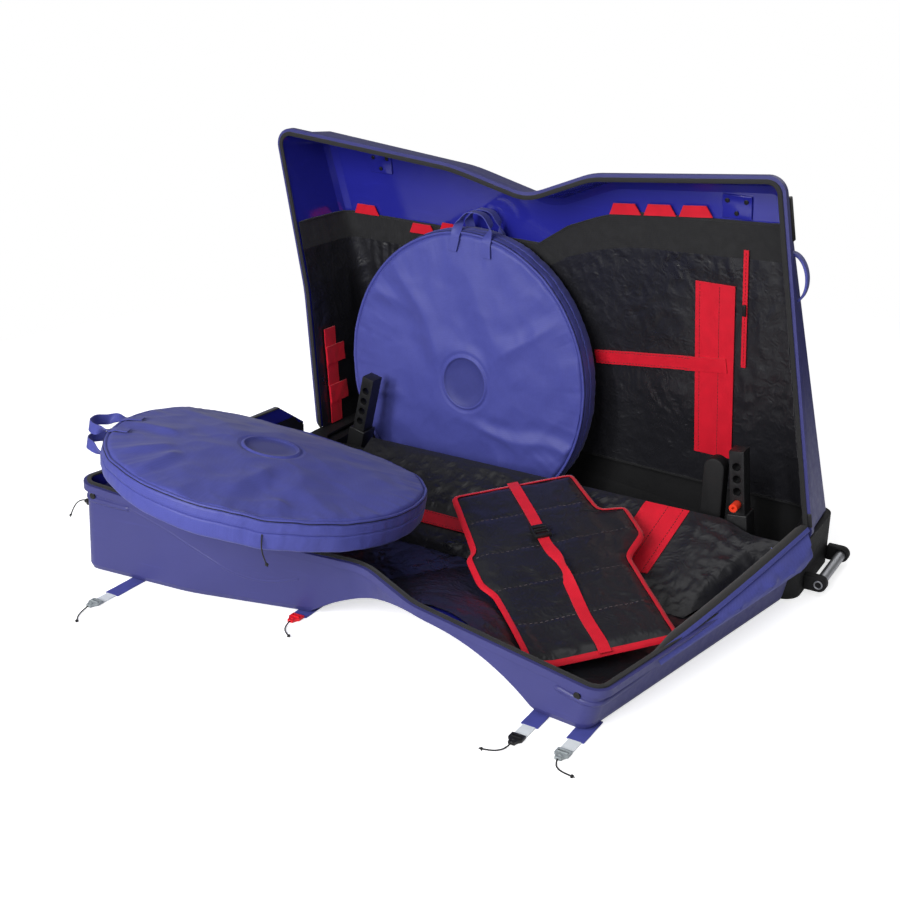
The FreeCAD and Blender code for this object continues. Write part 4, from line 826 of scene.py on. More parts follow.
STRAP_SEATS = {
    # seat, out, across
    "end": ((-0.790, -0.600, 0.086), (-1, 0, 0), (0, -1, 0)),
    "corner": ((-0.600, -0.786, 0.0005), (0, -1, 0), (1, 0, 0)),
    "waist": ((-0.205, -0.652, 0.0005), (0, -1, 0), (1, 0, 0)),
    "front": ((0.385, -0.754, 0.0005), (0, -1, 0), (1, 0, 0)),
    "edge": ((0.474, -0.752, 0.0005), (0, -1, 0), (1, 0, 0)),
}
STRAP_GAP = 0.0004
WEB_LONG = 0.036
HOOK_LONG = 0.030
HOOK_THICK = 0.009
HOOK_WIDE = 0.027
CORD_REACH = 0.062
BAG_CORD_REACH = 0.060
CORD_SHARES = {
    "end": [(0, 0, 0), (0.22, 0.03, -0.03), (0.42, 0.1, -0.17), (0.53, 0.2, -0.39), (0.58, 0.3, -0.63)],
    "corner": [(0, 0, 0), (0.22, 0.02, -0.035), (0.45, 0.08, -0.045), (0.67, 0.2, -0.046),
               (0.86, 0.38, -0.045)],
    "waist": [(0, 0, 0), (0.22, 0.03, -0.035), (0.43, 0.13, -0.045), (0.6, 0.3, -0.046),
              (0.72, 0.52, -0.045)],
    "front": [(0, 0, 0), (0.22, -0.03, -0.035), (0.41, -0.15, -0.045), (0.54, -0.35, -0.046),
              (0.6, -0.59, -0.045)],
    "edge": [(0, 0, 0), (0.21, 0.05, -0.035), (0.36, 0.2, -0.045), (0.43, 0.42, -0.046),
             (0.45, 0.66, -0.045)],
}
BAG_CORD_SHARES = [(0, 0, 0), (0, -0.05, -0.22), (0.03, -0.1, -0.45), (0.1, -0.12, -0.7), (0.2, -0.1, -0.93)]
KNOT_RING = 0.0022
KNOT_TUBE = 0.0014
KNOT_STEPS = (18, 8)
KNOT_TILT = (0.6, 0.5, 0)
KNOT_TAIL_SIDES = 12
KNOT_TAPER = 0.8
KNOT_TAIL = 3
CORD_ORDER = 3
CORD_STEPS = 8
CORD_SECTION = 3

# Wheel bags: centre, turn and radius of each
REAR_BAG = Matrix.Translation((-0.255, 0.112, 0.3324)) @ Matrix.Rotation(math.radians(90.0), 4, "X")
FRONT_BAG = (Matrix.Translation((-0.370, -0.532, 0.2454)) @ Matrix.Rotation(math.radians(-9.0), 4, "X")
             @ Matrix.Rotation(math.radians(7.9), 4, "Y"))
REAR_BAG_RADIUS = 0.328
FRONT_BAG_RADIUS = 0.342
BAG_CORD_X = 0.211
BAG_CORD_CLEAR = 0.0021


def cord_points(name):
    seat, out, across = (Vector(part) for part in STRAP_SEATS[name])
    start = STRAP_GAP + HOOK_LONG
    if name != "waist":
        start += WEB_LONG + STRAP_GAP / 2
    origin = seat + out * (start + STRAP_GAP) + Vector((0, 0, HOOK_THICK / 2))
    return [origin + (out * far + across * side + Vector((0, 0, rise))) * CORD_REACH
            for far, side, rise in CORD_SHARES[name]]


def bag_cord_points():
    front = math.sqrt(FRONT_BAG_RADIUS ** 2 - BAG_CORD_X ** 2)
    start = FRONT_BAG @ Vector((BAG_CORD_X, -front - BAG_CORD_CLEAR, 0))
    return [start + Vector(s) * BAG_CORD_REACH for s in BAG_CORD_SHARES]


def cord_curve(name, points, radius):
    curve = bpy.data.curves.new(name, "CURVE")
    curve.dimensions = "3D"
    spline = curve.splines.new("NURBS")
    spline.points.add(len(points) - 1)
    for point, place in zip(spline.points, points):
        point.co = (*place, 1.0)
    spline.order_u = CORD_ORDER
    spline.use_endpoint_u = True
    curve.resolution_u = CORD_STEPS
    curve.bevel_depth = radius
    curve.bevel_resolution = CORD_SECTION
    curve.use_fill_caps = True
    return linked(name, curve)


def knot_piece(name, place, along):
    """A tied knot: two rings drawn tight at an angle, and a cut end."""
    first = torus(KNOT_RING, KNOT_TUBE, *KNOT_STEPS)
    second = torus(KNOT_RING, KNOT_TUBE, *KNOT_STEPS, (0, 0, KNOT_TUBE), KNOT_TILT)
    deselect()
    bpy.ops.mesh.primitive_cone_add(vertices=KNOT_TAIL_SIDES, radius1=KNOT_TUBE,
                                    radius2=KNOT_TUBE * KNOT_TAPER, depth=KNOT_RING * KNOT_TAIL,
                                    location=(0, 0, KNOT_RING))
    tail = bpy.context.active_object
    bpy.ops.object.transform_apply(location=True, rotation=True, scale=True)
    knot = joined(name, [first, second, tail])
    turn = along.to_track_quat("Z", "Y").to_matrix().to_4x4()
    placed(knot, Matrix.Translation(place) @ turn)
    smooth(knot)
    return knot


class CASE_OT_cords(bpy.types.Operator):
    """Pull cords of the closing straps and of the lying bag's zip"""
    bl_idname = "case.cords"
    bl_label = "Pull cords"

    def execute(self, context):
        thick = context.scene.case_sizes.cord_diameter
        for name in STRAP_SEATS:
            points = cord_points(name)
            body = name + "_strap"
            cord = cord_curve(name + "_pull_cord", points, thick / 2)
            settle(cord, body, "cord_black", name + "_strap_cord")
            knot = knot_piece(name + "_cord_knot", points[-1], (points[-1] - points[-2]).normalized())
            settle(knot, body, "cord_black")
        self.bag_cord(thick)
        return {"FINISHED"}

    def bag_cord(self, thick):
        points = bag_cord_points()
        line = cord_curve("bag_cord_line", points, 0.0)
        drawn = bpy.data.meshes.new_from_object(line)
        bpy.data.objects.remove(line)
        bpy.data.meshes.remove(drawn)
        cord = cord_curve("bag_pull_cord", points, thick / 2)
        activate(cord)
        bpy.ops.object.convert(target="MESH")
        cord = bpy.context.active_object
        outward(cord)
        smooth(cord)
        settle(cord, "front_half", "cord_black", "bag_zip_cord")
        knot = knot_piece("bag_cord_knot", points[-1], (points[-1] - points[-2]).normalized())
        settle(knot, "front_half", "cord_black")
        for piece in (cord, knot):
            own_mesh(piece)


# Linings, apron and gusset

CLOTH = 0.0014
REAR_LINING_TOP = ((-0.95, 0.655), (-0.095, 0.640), (0.060, 0.740), (0.95, 0.778))
LINING_EDGE = 0.004
WALL_LEVELS = 12
CORNER_TURNS = (20.0, 45.0, 70.0)
FRONT_LINING_BELOW = 0.036
REAR_LINING_BELOW = 0.0215
FOLD_BOTTOM = 0.2115
REAR_BOTTOM = 0.1215
QUIET_PATCHES = ("rear_hook_strip", "rear_belt", "pocket_zip", "pump_strap")
QUIET_REACH = 0.03
DEPTH, UP = 1, 2
LOBE_MIDDLES = {1: 0.40, -1: -0.50}
FAR_WALL_LIMITS = (-0.60, 0.46)
WALL_DEPTHS = (1.2, 2.4, 3.2)
WALL_LIFTS = (0.0, 0.003, 0.006, 0.012, -0.006, -0.012)
END_START = 0.4
RIM_BACK = 0.004
RIM_REACH = 0.016
RIM_TUCK = 0.0006
TUB_REACH = 0.004
CORNER_SPAN = 0.05
TOP_STEP = 0.02
TOP_SPOTS = 6
REAR_LINING_SPAN = (2.0, 0.6)
REAR_LINING_ENDS = (-0.69, 0.50)
FRONT_LINING_SPAN = (1.25, 0.62)
FRONT_STEP = 1.15
FAR_WALL_GAP = 0.04
FAR_WALL_START = 0.03
LINING_SINK = 0.0022
LINING_MERGE = 0.0002
HEM_RADIUS = 0.0026
EDGE_ROWS = 8.0
QUIET_LEAST = 0.12
EDGE_LEAST = 0.35
FRONT_CRINKLE = 0.9
GATHER_FROM = 0.25
GATHER_OVER = 0.12
GATHER_LEAST = 0.45
GATHER_HEIGHT = 0.0048
GATHER_SCALE = 75.0
GATHER_LONG = 4.0
BILLOW_SCALE = 5.5
BEND_SCALE = 7.0
BEND = 0.03
RIDGE_SCALE = 21.0
RIDGE_FINE = 43.0
RIDGE_SHIFT = Vector((3.1, 1.7, 0.4))
RIDGE_SHARP = 2.2
CRINKLE_SHARES = (0.35, 0.45, 0.3)


def to_open():
    """Turn that takes the closed front half to where it lies open."""
    pivot = Vector(LID["pos_m"])
    turn = Matrix.Rotation(-math.radians(LID["range_deg"][1]), 4, Vector(LID["axis"]))
    return Matrix.Translation(pivot) @ turn @ Matrix.Translation(-pivot)


def crinkle_height(point, amount):
    """Creased cloth: a slow billow and sharp crossing ridges."""
    slow = 0.5 + 0.5 * noise.noise(point * BILLOW_SCALE)
    bent = point + BEND * noise.noise_vector(point * BEND_SCALE)
    sharp = 1.0 - abs(noise.noise(bent * RIDGE_SCALE)) * RIDGE_SHARP
    sharper = 1.0 - abs(noise.noise(bent * RIDGE_FINE + RIDGE_SHIFT)) * RIDGE_SHARP
    billow, ridge, fine = CRINKLE_SHARES
    return amount * (billow * slow + ridge * max(0.0, sharp) * slow + fine * max(0.0, sharper))


class HalfCast:
    """Finds places on the inner face of a half's lining, in the closed half's own frame."""

    def __init__(self, node, side, matrix, below):
        self.tree = mesh_tree(NODES[node].data)
        self.side = side
        self.matrix = matrix
        self.spin = matrix.to_3x3()
        self.rim = side * (RIM_BACK + below)
        self.back = matrix.inverted()

    def hit(self, origin, direction):
        place, normal, _, _ = self.tree.ray_cast(self.matrix @ origin, self.spin @ direction)
        if place is None:
            return None
        facing = self.spin @ direction
        if normal.dot(facing) > 0:
            normal = -normal
        return place, normal

    def floor(self, x, z):
        return self.hit(Vector((x, self.rim * 0.5, z)), Vector((0, self.side, 0)))

    def wall_x(self, z, way):
        for depth in WALL_DEPTHS:
            for lift in WALL_LIFTS:
                start = Vector((LOBE_MIDDLES[way], self.rim * depth, z + lift))
                found = self.hit(start, Vector((way, 0, 0)))
                if found:
                    return (self.back @ found[0]).x
        raise RuntimeError("no end wall at height %.3f" % z)

    def end_z(self, x):
        found = self.hit(Vector((x, self.rim * WALL_DEPTHS[0], END_START)), Vector((0, 0, 1)))
        return (self.back @ found[0]).z


def lining_level(x):
    for (x0, z0), (x1, z1) in zip(REAR_LINING_TOP, REAR_LINING_TOP[1:]):
        if x0 <= x <= x1:
            return mixed(z0, z1, (x - x0) / (x1 - x0)) - LINING_EDGE
    return REAR_LINING_TOP[-1][1]


def lining_top(x):
    """Top edge of the rear lining, its upper corner drawn round."""
    spots = [lining_level(x + TOP_STEP * k) for k in range(-TOP_SPOTS, TOP_SPOTS + 1)]
    return min(lining_level(x), sum(spots) / len(spots))


def wall_line(cast, x_wall, z, way):
    """Places from the rim down one end wall and round its corner to the floor."""
    inner = x_wall - way * CORNER_SPAN
    floor = cast.floor(inner, z)
    deep = (cast.back @ floor[0]).y
    line = []
    turn_at = deep - cast.side * CORNER_SPAN
    for k in range(WALL_LEVELS):
        y = mixed(cast.rim, turn_at, k / (WALL_LEVELS - 1))
        line.append(cast.hit(Vector((inner, y, z)), Vector((way, 0, 0))))
    for degrees in CORNER_TURNS:
        angle = math.radians(degrees)
        direction = Vector((way * math.cos(angle), cast.side * math.sin(angle), 0))
        line.append(cast.hit(Vector((inner, turn_at, z)), direction))
    return line


def rear_lining_rows(step):
    cast = HalfCast("rear_liner", 1, Matrix.Identity(4), REAR_LINING_BELOW)
    long, tall = (int(span / step) for span in REAR_LINING_SPAN)
    rows = []
    for r in range(tall + 1):
        share = r / tall
        row = []
        z_left = mixed(REAR_BOTTOM, lining_top(REAR_LINING_ENDS[0]), share)
        z_right = mixed(REAR_BOTTOM, lining_top(REAR_LINING_ENDS[1]), share)
        x_left = cast.wall_x(z_left, -1)
        x_right = cast.wall_x(z_right, 1)
        row += wall_line(cast, x_left, z_left, -1)
        for c in range(long + 1):
            x = mixed(x_left + CORNER_SPAN, x_right - CORNER_SPAN, c / long)
            z = mixed(REAR_BOTTOM, lining_top(x), share)
            row.append(cast.floor(x, z))
        row += list(reversed(wall_line(cast, x_right, z_right, 1)))
        rows.append(row)
    for row in filled(rows):
        row[0] = (row[0][0] - Vector((-RIM_TUCK, RIM_REACH, 0)), row[0][1])
        row[-1] = (row[-1][0] - Vector((RIM_TUCK, RIM_REACH, 0)), row[-1][1])
    rows.insert(0, [(place - Vector((0, 0, TUB_REACH)), normal) for place, normal in rows[0]])
    return rows


def filled(rows):
    """Fills the few places that a cast missed from the nearest one in their row."""
    for row in rows:
        known = [c for c, place in enumerate(row) if place]
        for c, place in enumerate(row):
            if place is None:
                row[c] = row[min(known, key=lambda k: abs(k - c))]
    return rows


def quiet_share(point, boxes, way):
    """Zero on a sewn patch, rising to one a short way off, along X and one other way."""
    share = 1.0
    for low, high in boxes:
        gap = max(low.x - point.x, point.x - high.x, low[way] - point[way], point[way] - high[way], 0.0)
        share = min(share, eased(gap / QUIET_REACH))
    return share


class CASE_OT_linings(bpy.types.Operator):
    """Coated linings of both halves, the rear one with its matte edge band"""
    bl_idname = "case.linings"
    bl_label = "Linings"

    def execute(self, context):
        sizes = context.scene.case_sizes
        self.rear(sizes)
        self.front(sizes)
        return {"FINISHED"}

    def rear(self, sizes):
        found = rear_lining_rows(sizes.cloth_step)
        boxes = [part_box(node) for node in QUIET_PATCHES]
        tall = len(found) - 1
        rows = []
        for r, line in enumerate(found):
            edge = eased((tall - r) / tall * EDGE_ROWS)
            row = []
            for place, normal in line:
                quiet = mixed(QUIET_LEAST, 1.0, quiet_share(place, boxes, UP))
                rise = crinkle_height(place, sizes.crinkle) * quiet * mixed(EDGE_LEAST, 1.0, edge)
                gather = eased((-place.x - GATHER_FROM) / GATHER_OVER)
                gather *= mixed(GATHER_LEAST, 1.0, edge) * quiet
                spot = Vector((place.x * GATHER_SCALE, place.y * GATHER_SCALE, place.z * GATHER_LONG))
                rise += GATHER_HEIGHT * gather * noise.noise(spot)
                row.append(place + normal * (rise - LINING_SINK))
            rows.append(row)
        lining = grid_piece("rear_lining_cloth", rows)
        lining.data.materials.append(finish_of("lining_black"))
        lining.data.materials.append(finish_of("binding_black"))
        band_rows = int(sizes.band / sizes.cloth_step)
        wide = len(rows[0]) - 1
        for face in lining.data.polygons:
            if face.index // wide >= tall - band_rows:
                face.material_index = 1
        modify(lining, "SOLIDIFY", thickness=CLOTH, offset=0.0)
        smooth(lining, CLOTH_DEGREES)
        settle(lining, "case", "lining_black", "rear_liner")
        hem = tube_piece("rear_lining_hem", rows[-1], HEM_RADIUS)
        settle(hem, "case", "binding_black")

    def front(self, sizes):
        cast = HalfCast("front_liner", -1, to_open(), FRONT_LINING_BELOW)
        step = sizes.cloth_step * FRONT_STEP
        long, deep = (int(span / step) for span in FRONT_LINING_SPAN)
        rows = []
        for r in range(deep + 1):
            share = r / deep
            z_left = mixed(FOLD_BOTTOM, cast.end_z(FAR_WALL_LIMITS[0]) - FAR_WALL_GAP, share)
            z_right = mixed(FOLD_BOTTOM, cast.end_z(FAR_WALL_LIMITS[1]) - FAR_WALL_GAP, share)
            x_left = cast.wall_x(z_left, -1)
            x_right = cast.wall_x(z_right, 1)
            row = wall_line(cast, x_left, z_left, -1)
            for c in range(long + 1):
                x = mixed(x_left + CORNER_SPAN, x_right - CORNER_SPAN, c / long)
                end = cast.end_z(min(max(x, FAR_WALL_LIMITS[0]), FAR_WALL_LIMITS[1])) - FAR_WALL_GAP
                row.append(cast.floor(x, mixed(FOLD_BOTTOM, end, share)))
            row += list(reversed(wall_line(cast, x_right, z_right, 1)))
            rows.append(row)
        side = WALL_LEVELS + len(CORNER_TURNS)
        for k in range(1, WALL_LEVELS + 1):
            share = k / WALL_LEVELS
            row = []
            for c, place in enumerate(rows[deep]):
                if place is None:
                    row.append(None)
                    continue
                local = cast.back @ place[0]
                if c < side or c > side + long:
                    row.append(place)
                    continue
                y = mixed(local.y, cast.rim, share)
                z_way = cast.hit(Vector((local.x, y, local.z - FAR_WALL_START)), Vector((0, 0, 1)))
                row.append(z_way or place)
            rows.append(row)
        found = filled(rows)
        cloth_rows = []
        for line in found:
            row = []
            for place, normal in line:
                rise = crinkle_height(place, sizes.crinkle) * FRONT_CRINKLE
                row.append(place + normal * (rise - LINING_SINK))
            cloth_rows.append(row)
        lining = grid_piece("front_lining_cloth", cloth_rows)
        near = {"threshold": LINING_MERGE}
        edited(lining, (bpy.ops.mesh.remove_doubles, near), (bpy.ops.mesh.dissolve_degenerate, near))
        modify(lining, "SOLIDIFY", thickness=CLOTH, offset=0.0)
        smooth(lining, CLOTH_DEGREES)
        settle(lining, "front_half", "lining_black", "front_liner")


APRON_NEAR = Vector((0.0, -0.0300, 0.1406))
APRON_FAR = Vector((0.0, -0.262, 0.0118))
APRON_HALF = 0.452
APRON_RIGHT = 0.612
APRON_RIGHT_FAR = 0.475
APRON_RIGHT_NEAR = Vector((0.0, -0.050, 0.127))
VALLEY_NEAR = 0.545
VALLEY_DEEP = 0.028
VALLEY_WIDE = 0.05
GUSSET_TOP = 0.1165
GUSSET_LOW = 0.015
GUSSET_END_LOW = 0.063
GUSSET_FRONT = -0.0634
GUSSET_END_X = 0.6413
GUSSET_CORNER = 0.03
GUSSET_TURN = ((0.0, 0.0), (0.0, -0.022), (0.004, -0.044), (GUSSET_CORNER, GUSSET_FRONT))
GUSSET_STRAIGHT = 0.06
GUSSET_STEPS = (24, 10, 16)
GUSSET_END_FROM = 0.50
GUSSET_END_OVER = 0.11
GUSSET_OUT = 0.2
GUSSET_SWELL = (0.0035, 0.006)
GUSSET_FOLD = 0.004
GUSSET_FOLDS = (0.16, 2.2, 4.0)
GUSSET_FOLD_LEAST = 0.25
GUSSET_BACK = -0.0008
STRIP_CORNERS = ((0.286, 0.012), (0.388, 0.008), (0.364, 0.70), (0.264, 0.73))
STRIP_SEAMS = (0.52, 0.86)
STRIP_STITCHES = 22
BAND_CORNER = (0.634, -0.004, 0.151)
BAND_FAR = 0.70
BAND_STEPS = 64
BAND_SECTION = ((-0.022, -0.006), (-0.011, 0.0035), (0.0, 0.0048), (0.0035, 0.003), (0.0045, -0.0005),
                (0.0075, -0.0025), (0.008, -0.0055), (0.0062, -0.008), (0.0045, -0.0095))
BAND_START = (0.40, -0.008)
BAND_RIM = -0.003
BAND_CLIMB = 1.45
BAND_LEAST = 0.25
BAND_GROWS = 0.2
BAND_FOOT = (0.017, 0, -0.017)
CURTAIN_FOLDS = (9.0, 2.5, 3.0)
CURTAIN_DEEP = 0.07
CURTAIN_FOLD = 0.3
CURTAIN_BULGE = 0.004
CURTAIN_SLACK = 0.1
CURTAIN_LEAN = 0.4
APRON_STEP = 0.8
APRON_EDGES = (4.0, 3.0)
APRON_RISE = 0.0008
APRON_CRINKLE = 1.3
APRON_PLEAT = 0.0022
APRON_PLEATS = (22.0, 60.0, 9.0, 2.0)
STRIP_REACH = 0.05
STRIP_RISE = 0.0016
STRIP_GRID = (18, 32)
STRIP_THICK = 0.0018
STRIP_STITCH = (0.2, 0.8)
STRIP_THREAD_RISE = 0.0012
BAND_BLACK = 3
BAND_CURTAIN = 8


class CASE_OT_fold_cloth(bpy.types.Operator):
    """Apron that slopes into the front half, and the gusset that spans the folding line"""
    bl_idname = "case.fold_cloth"
    bl_label = "Fold cloth"

    def execute(self, context):
        self.apron(context.scene.case_sizes)
        self.gusset()
        self.end_band()
        return {"FINISHED"}

    def end_band(self):
        """Zip band and curtain that climb from the front rim to the rear half's corner at the right end."""
        turn = to_open()
        cast = HalfCast("front_shell", -1, turn, 0.0)
        corner = Vector(BAND_CORNER)
        stations = []
        for k in range(BAND_STEPS + 1):
            z = mixed(BAND_FAR, FOLD_BOTTOM, k / BAND_STEPS)
            found = cast.hit(Vector((*BAND_START, z)), Vector((1, 0, 0)))
            if found:
                stations.append(turn @ Vector(((cast.back @ found[0]).x, BAND_RIM, z)))
        last = stations[-1]
        rows = []
        for k, base in enumerate(stations):
            share = k / (len(stations) - 1)
            top = base + (corner - last) * share ** BAND_CLIMB
            drop = (top - base).length
            grown = mixed(BAND_LEAST, 1.0, eased(share / BAND_GROWS))
            row = [top + Vector((out, 0, rise)) * grown for out, rise in BAND_SECTION]
            foot = base + Vector(BAND_FOOT)
            head = row[-1]
            for c in range(1, BAND_CURTAIN + 1):
                down = c / BAND_CURTAIN
                spot = Vector((share * CURTAIN_FOLDS[0], down * CURTAIN_FOLDS[1], CURTAIN_FOLDS[2]))
                fold = abs(noise.noise(spot)) * min(drop, CURTAIN_DEEP) * CURTAIN_FOLD
                bulge = math.sin(down * math.pi) * (CURTAIN_BULGE + CURTAIN_SLACK * drop + fold)
                row.append(mixed(head, foot, down) + Vector((bulge, -bulge * CURTAIN_LEAN, 0)))
            rows.append(row)
        band = grid_piece("fold_end_band", rows)
        band.data.materials.append(finish_of("nylon_purple"))
        band.data.materials.append(finish_of("binding_black"))
        wide = len(rows[0]) - 1
        for face in band.data.polygons:
            face.material_index = 1 if face.index % wide < BAND_BLACK else 0
        modify(band, "SOLIDIFY", thickness=CLOTH, offset=0.0)
        outward(band)
        smooth(band, BAND_DEGREES)
        settle(band, "front_half", "nylon_purple")
        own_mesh(band)

    def apron(self, sizes):
        step = sizes.cloth_step * APRON_STEP
        long = int((APRON_HALF + APRON_RIGHT) / step)
        down = int((APRON_FAR - APRON_NEAR).length / step)
        slope = (APRON_FAR - APRON_NEAR).normalized()
        normal = Vector((1, 0, 0)).cross(-slope).normalized()
        boxes = [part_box("front_hook_strip"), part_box("front_belt")]
        rows = []
        for r in range(down + 1):
            share = r / down
            row = []
            for c in range(long + 1):
                x = mixed(-APRON_HALF, mixed(APRON_RIGHT, APRON_RIGHT_FAR, share), c / long)
                right = eased((x - APRON_HALF) / (VALLEY_NEAR - APRON_HALF))
                near = mixed(APRON_NEAR, APRON_RIGHT_NEAR, right)
                place = mixed(near, APRON_FAR, share) + Vector((x, 0, 0))
                quiet = quiet_share(place, boxes, DEPTH)
                inside = min(1.0, min(c, long - c) / APRON_EDGES[0])
                inside *= min(1.0, min(r, down - r) / APRON_EDGES[1])
                valley = eased((x - mixed(VALLEY_NEAR, APRON_HALF, share)) / VALLEY_WIDE)
                rise = APRON_RISE + crinkle_height(place, sizes.crinkle * APRON_CRINKLE) * quiet * inside
                wide, slant, tall, layer = APRON_PLEATS
                spot = Vector((x * wide + place.y * slant, place.y * tall, layer))
                rise += APRON_PLEAT * inside * quiet * noise.noise(spot)
                rise -= VALLEY_DEEP * valley * math.sin(share * math.pi)
                row.append(place + normal * rise)
            rows.append(row)
        apron = grid_piece("fold_apron_cloth", rows)
        modify(apron, "SOLIDIFY", thickness=CLOTH, offset=0.0)
        outward(apron)
        smooth(apron, CLOTH_DEGREES)
        settle(apron, "front_half", "lining_black", "fold_apron")
        self.strip(apron, normal)

    def strip(self, apron, normal):
        """Felt hook strip draped over the apron, with two rows of stitches."""
        tree = mesh_tree(apron.data)
        near_left, near_right, far_right, far_left = (Vector(corner) for corner in STRIP_CORNERS)

        def draped(across, down):
            flat = mixed(mixed(near_left, near_right, across), mixed(far_left, far_right, across), down)
            place = mixed(APRON_NEAR, APRON_FAR, flat.y) + Vector((flat.x, 0, 0))
            hit = tree.ray_cast(place + normal * STRIP_REACH, -normal)[0]
            return (hit or place) + normal * STRIP_RISE

        wide, tall = STRIP_GRID
        rows = [[draped(c / wide, r / tall) for c in range(wide + 1)] for r in range(tall + 1)]
        strip = grid_piece("front_strip_felt", rows)
        modify(strip, "SOLIDIFY", thickness=STRIP_THICK, offset=0.0)
        outward(strip)
        smooth(strip, ROUND_DEGREES)
        settle(strip, "front_half", "webbing_red", "front_hook_strip")
        bars = []
        for across in STRIP_SEAMS:
            for k in range(STRIP_STITCHES):
                start, end = ((k + share) / STRIP_STITCHES for share in STRIP_STITCH)
                lift = normal * STRIP_THREAD_RISE
                bars.append((draped(across, start) + lift, draped(across, end) + lift, normal))
        thread = thread_piece("front_strip_felt_thread", bars, THREAD_RADIUS)
        settle(thread, "front_half", "cord_black", finish="thread_dark")
        for piece in (apron, strip, thread):
            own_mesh(piece)

    def gusset(self):
        half = GUSSET_END_X
        plan = [Vector((half - back, y, 0)) for back, y in GUSSET_TURN]
        spans, fine, down = GUSSET_STEPS
        start = half - GUSSET_STRAIGHT
        middle = [Vector((mixed(start, -start, k / spans), GUSSET_FRONT, 0)) for k in range(spans + 1)]
        plan += middle + [Vector((-p.x, p.y, 0)) for p in reversed(plan)]
        line = curve_through(plan, fine)
        rows = []
        for r in range(down + 1):
            share = r / down
            row = []
            for i, place in enumerate(line):
                end = eased((abs(place.x) - GUSSET_END_FROM) / GUSSET_END_OVER)
                low = mixed(GUSSET_LOW, GUSSET_END_LOW, end)
                z = mixed(GUSSET_TOP, low, share)
                before, after = line[max(i - 1, 0)], line[min(i + 1, len(line) - 1)]
                along = (after - before).normalized()
                away = Vector((-along.y, along.x, 0))
                if away.dot(Vector((place.x * GUSSET_OUT, -1.0, 0))) < 0:
                    away = -away
                belly = math.sin(share * math.pi)
                swell = belly * (GUSSET_SWELL[0] + GUSSET_SWELL[1] * end)
                spot = Vector((i * GUSSET_FOLDS[0], share * GUSSET_FOLDS[1], GUSSET_FOLDS[2]))
                fold = GUSSET_FOLD * noise.noise(spot) * belly
                out = max(GUSSET_BACK, swell * end + fold * (GUSSET_FOLD_LEAST + end))
                row.append(place + away * out + Vector((0, 0, z)))
            rows.append(row)
        gusset = grid_piece("fold_gusset_cloth", rows)
        modify(gusset, "SOLIDIFY", thickness=CLOTH, offset=0.0)
        outward(gusset)
        smooth(gusset, CLOTH_DEGREES)
        settle(gusset, None, "nylon_purple", "fold_gusset")
        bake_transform(gusset)


# Wheel bags

BAG_HALF = 0.032
BAG_CROWN = 0.024
BAG_HUB = 0.062
BAG_AROUND = 320
PIPED, SHOW_FACE, SIDE_WALL, GROOVE = 0, 1, 2, 3
HUB_MIDDLE = 0.004
HUB_SINK = 0.004
HUB_SECTION = ((3.2, -0.0038), (2.4, -0.002), (1.6, 0.0012), (0.6, 0.0012), (-0.3, -0.002), (-1.2, -0.0036))
RIM_SECTION = ((3.6, 0.0004), (3.0, -0.003), (2.4, -0.001), (1.6, 0.0012), (0.8, 0.0002), (0.5, -0.0034),
               (1.0, -0.0052))
FACE_LIMITS = (2.5, 4.5)
FACE_RISE = (0.003, 0.002)
FACE_POWER = 1.1
WALL_RINGS = 12
WALL_ENDS = (0.007, 0.005)
WALL_IN = 0.0008
WALL_SWELL = 0.0018
GROOVE_PLACES = ((0.0, 0.006), (0.0011, 0.004))
BACK_SECTION = ((1.2, 0.002), (2.5, 0.0))
BACK_RINGS = 7
BAG_SEAM_RADIUS = 0.0011
BAG_SEAM_SIDES = 6
BAG_FACE_RINGS = 46
HUB_RINGS = 4
SEAM_RING = 26
REAR_HUB = (0.021, -0.006)
REAR_SEED = 2.0
FRONT_SEED = 7.0
REAR_GRIP_TURN = -4.0
FRONT_GRIP_TURN = 116.0
GRIP_HALF = 0.0115
GRIP_IN = 0.0125
GRIP_RISE = 0.0042
GRIP_START = 0.15
GRIP_TAIL = ((0.046, 0.050), (0.044, 0.036), (0.042, 0.022), (0.042, 0.010))
FOLD_ENDS = (0.25, 1.3, 0.5)
FOLD_CREST = 1.4
FOLD_DIP = 0.45
FOLD_DIP_AT = 1.5
RIM_FADE = 0.022
GATHER_FADE = 0.045
CALM_HUB = 0.03
CALM_RIM = 0.02
FACE_SCALE = 8.0
FACE_BEND = 0.045
FACE_BEND_SCALE = 0.7
FACE_SWELLS = ((0.005, 0.8), (0.0022, 2.6))
FACE_RIDGE = (0.0016, 0.6, 2.0, 1.9)
PUCKER = 0.0032
PUCKER_SCALE = 14.0
BAG_GATHER = 0.0034
BAG_GATHERS = 30.0
RIPPLE = 0.0016
RIPPLE_SCALE = 40.0
RIPPLE_TURN = 18.0
WALL_PUCKER = 0.001
BAG_WARP = 0.0034
WARP_SCALE = 7.0
GATHER_LAYER = 3.0
WARP_LAYER = 5.0
OUTER_POWER = 8
SLACK_POWER = 3
SLUMP_FROM = -0.25
SLUMP_KEEP = 0.56
STAND_TALL = 1.0915
STAND_DOWN = -0.030
SLACK_SIDE = 214.0
SLACK = 0.35
FRONT_SAG = 0.046
SAG_WAY = (-0.17, 0.98)
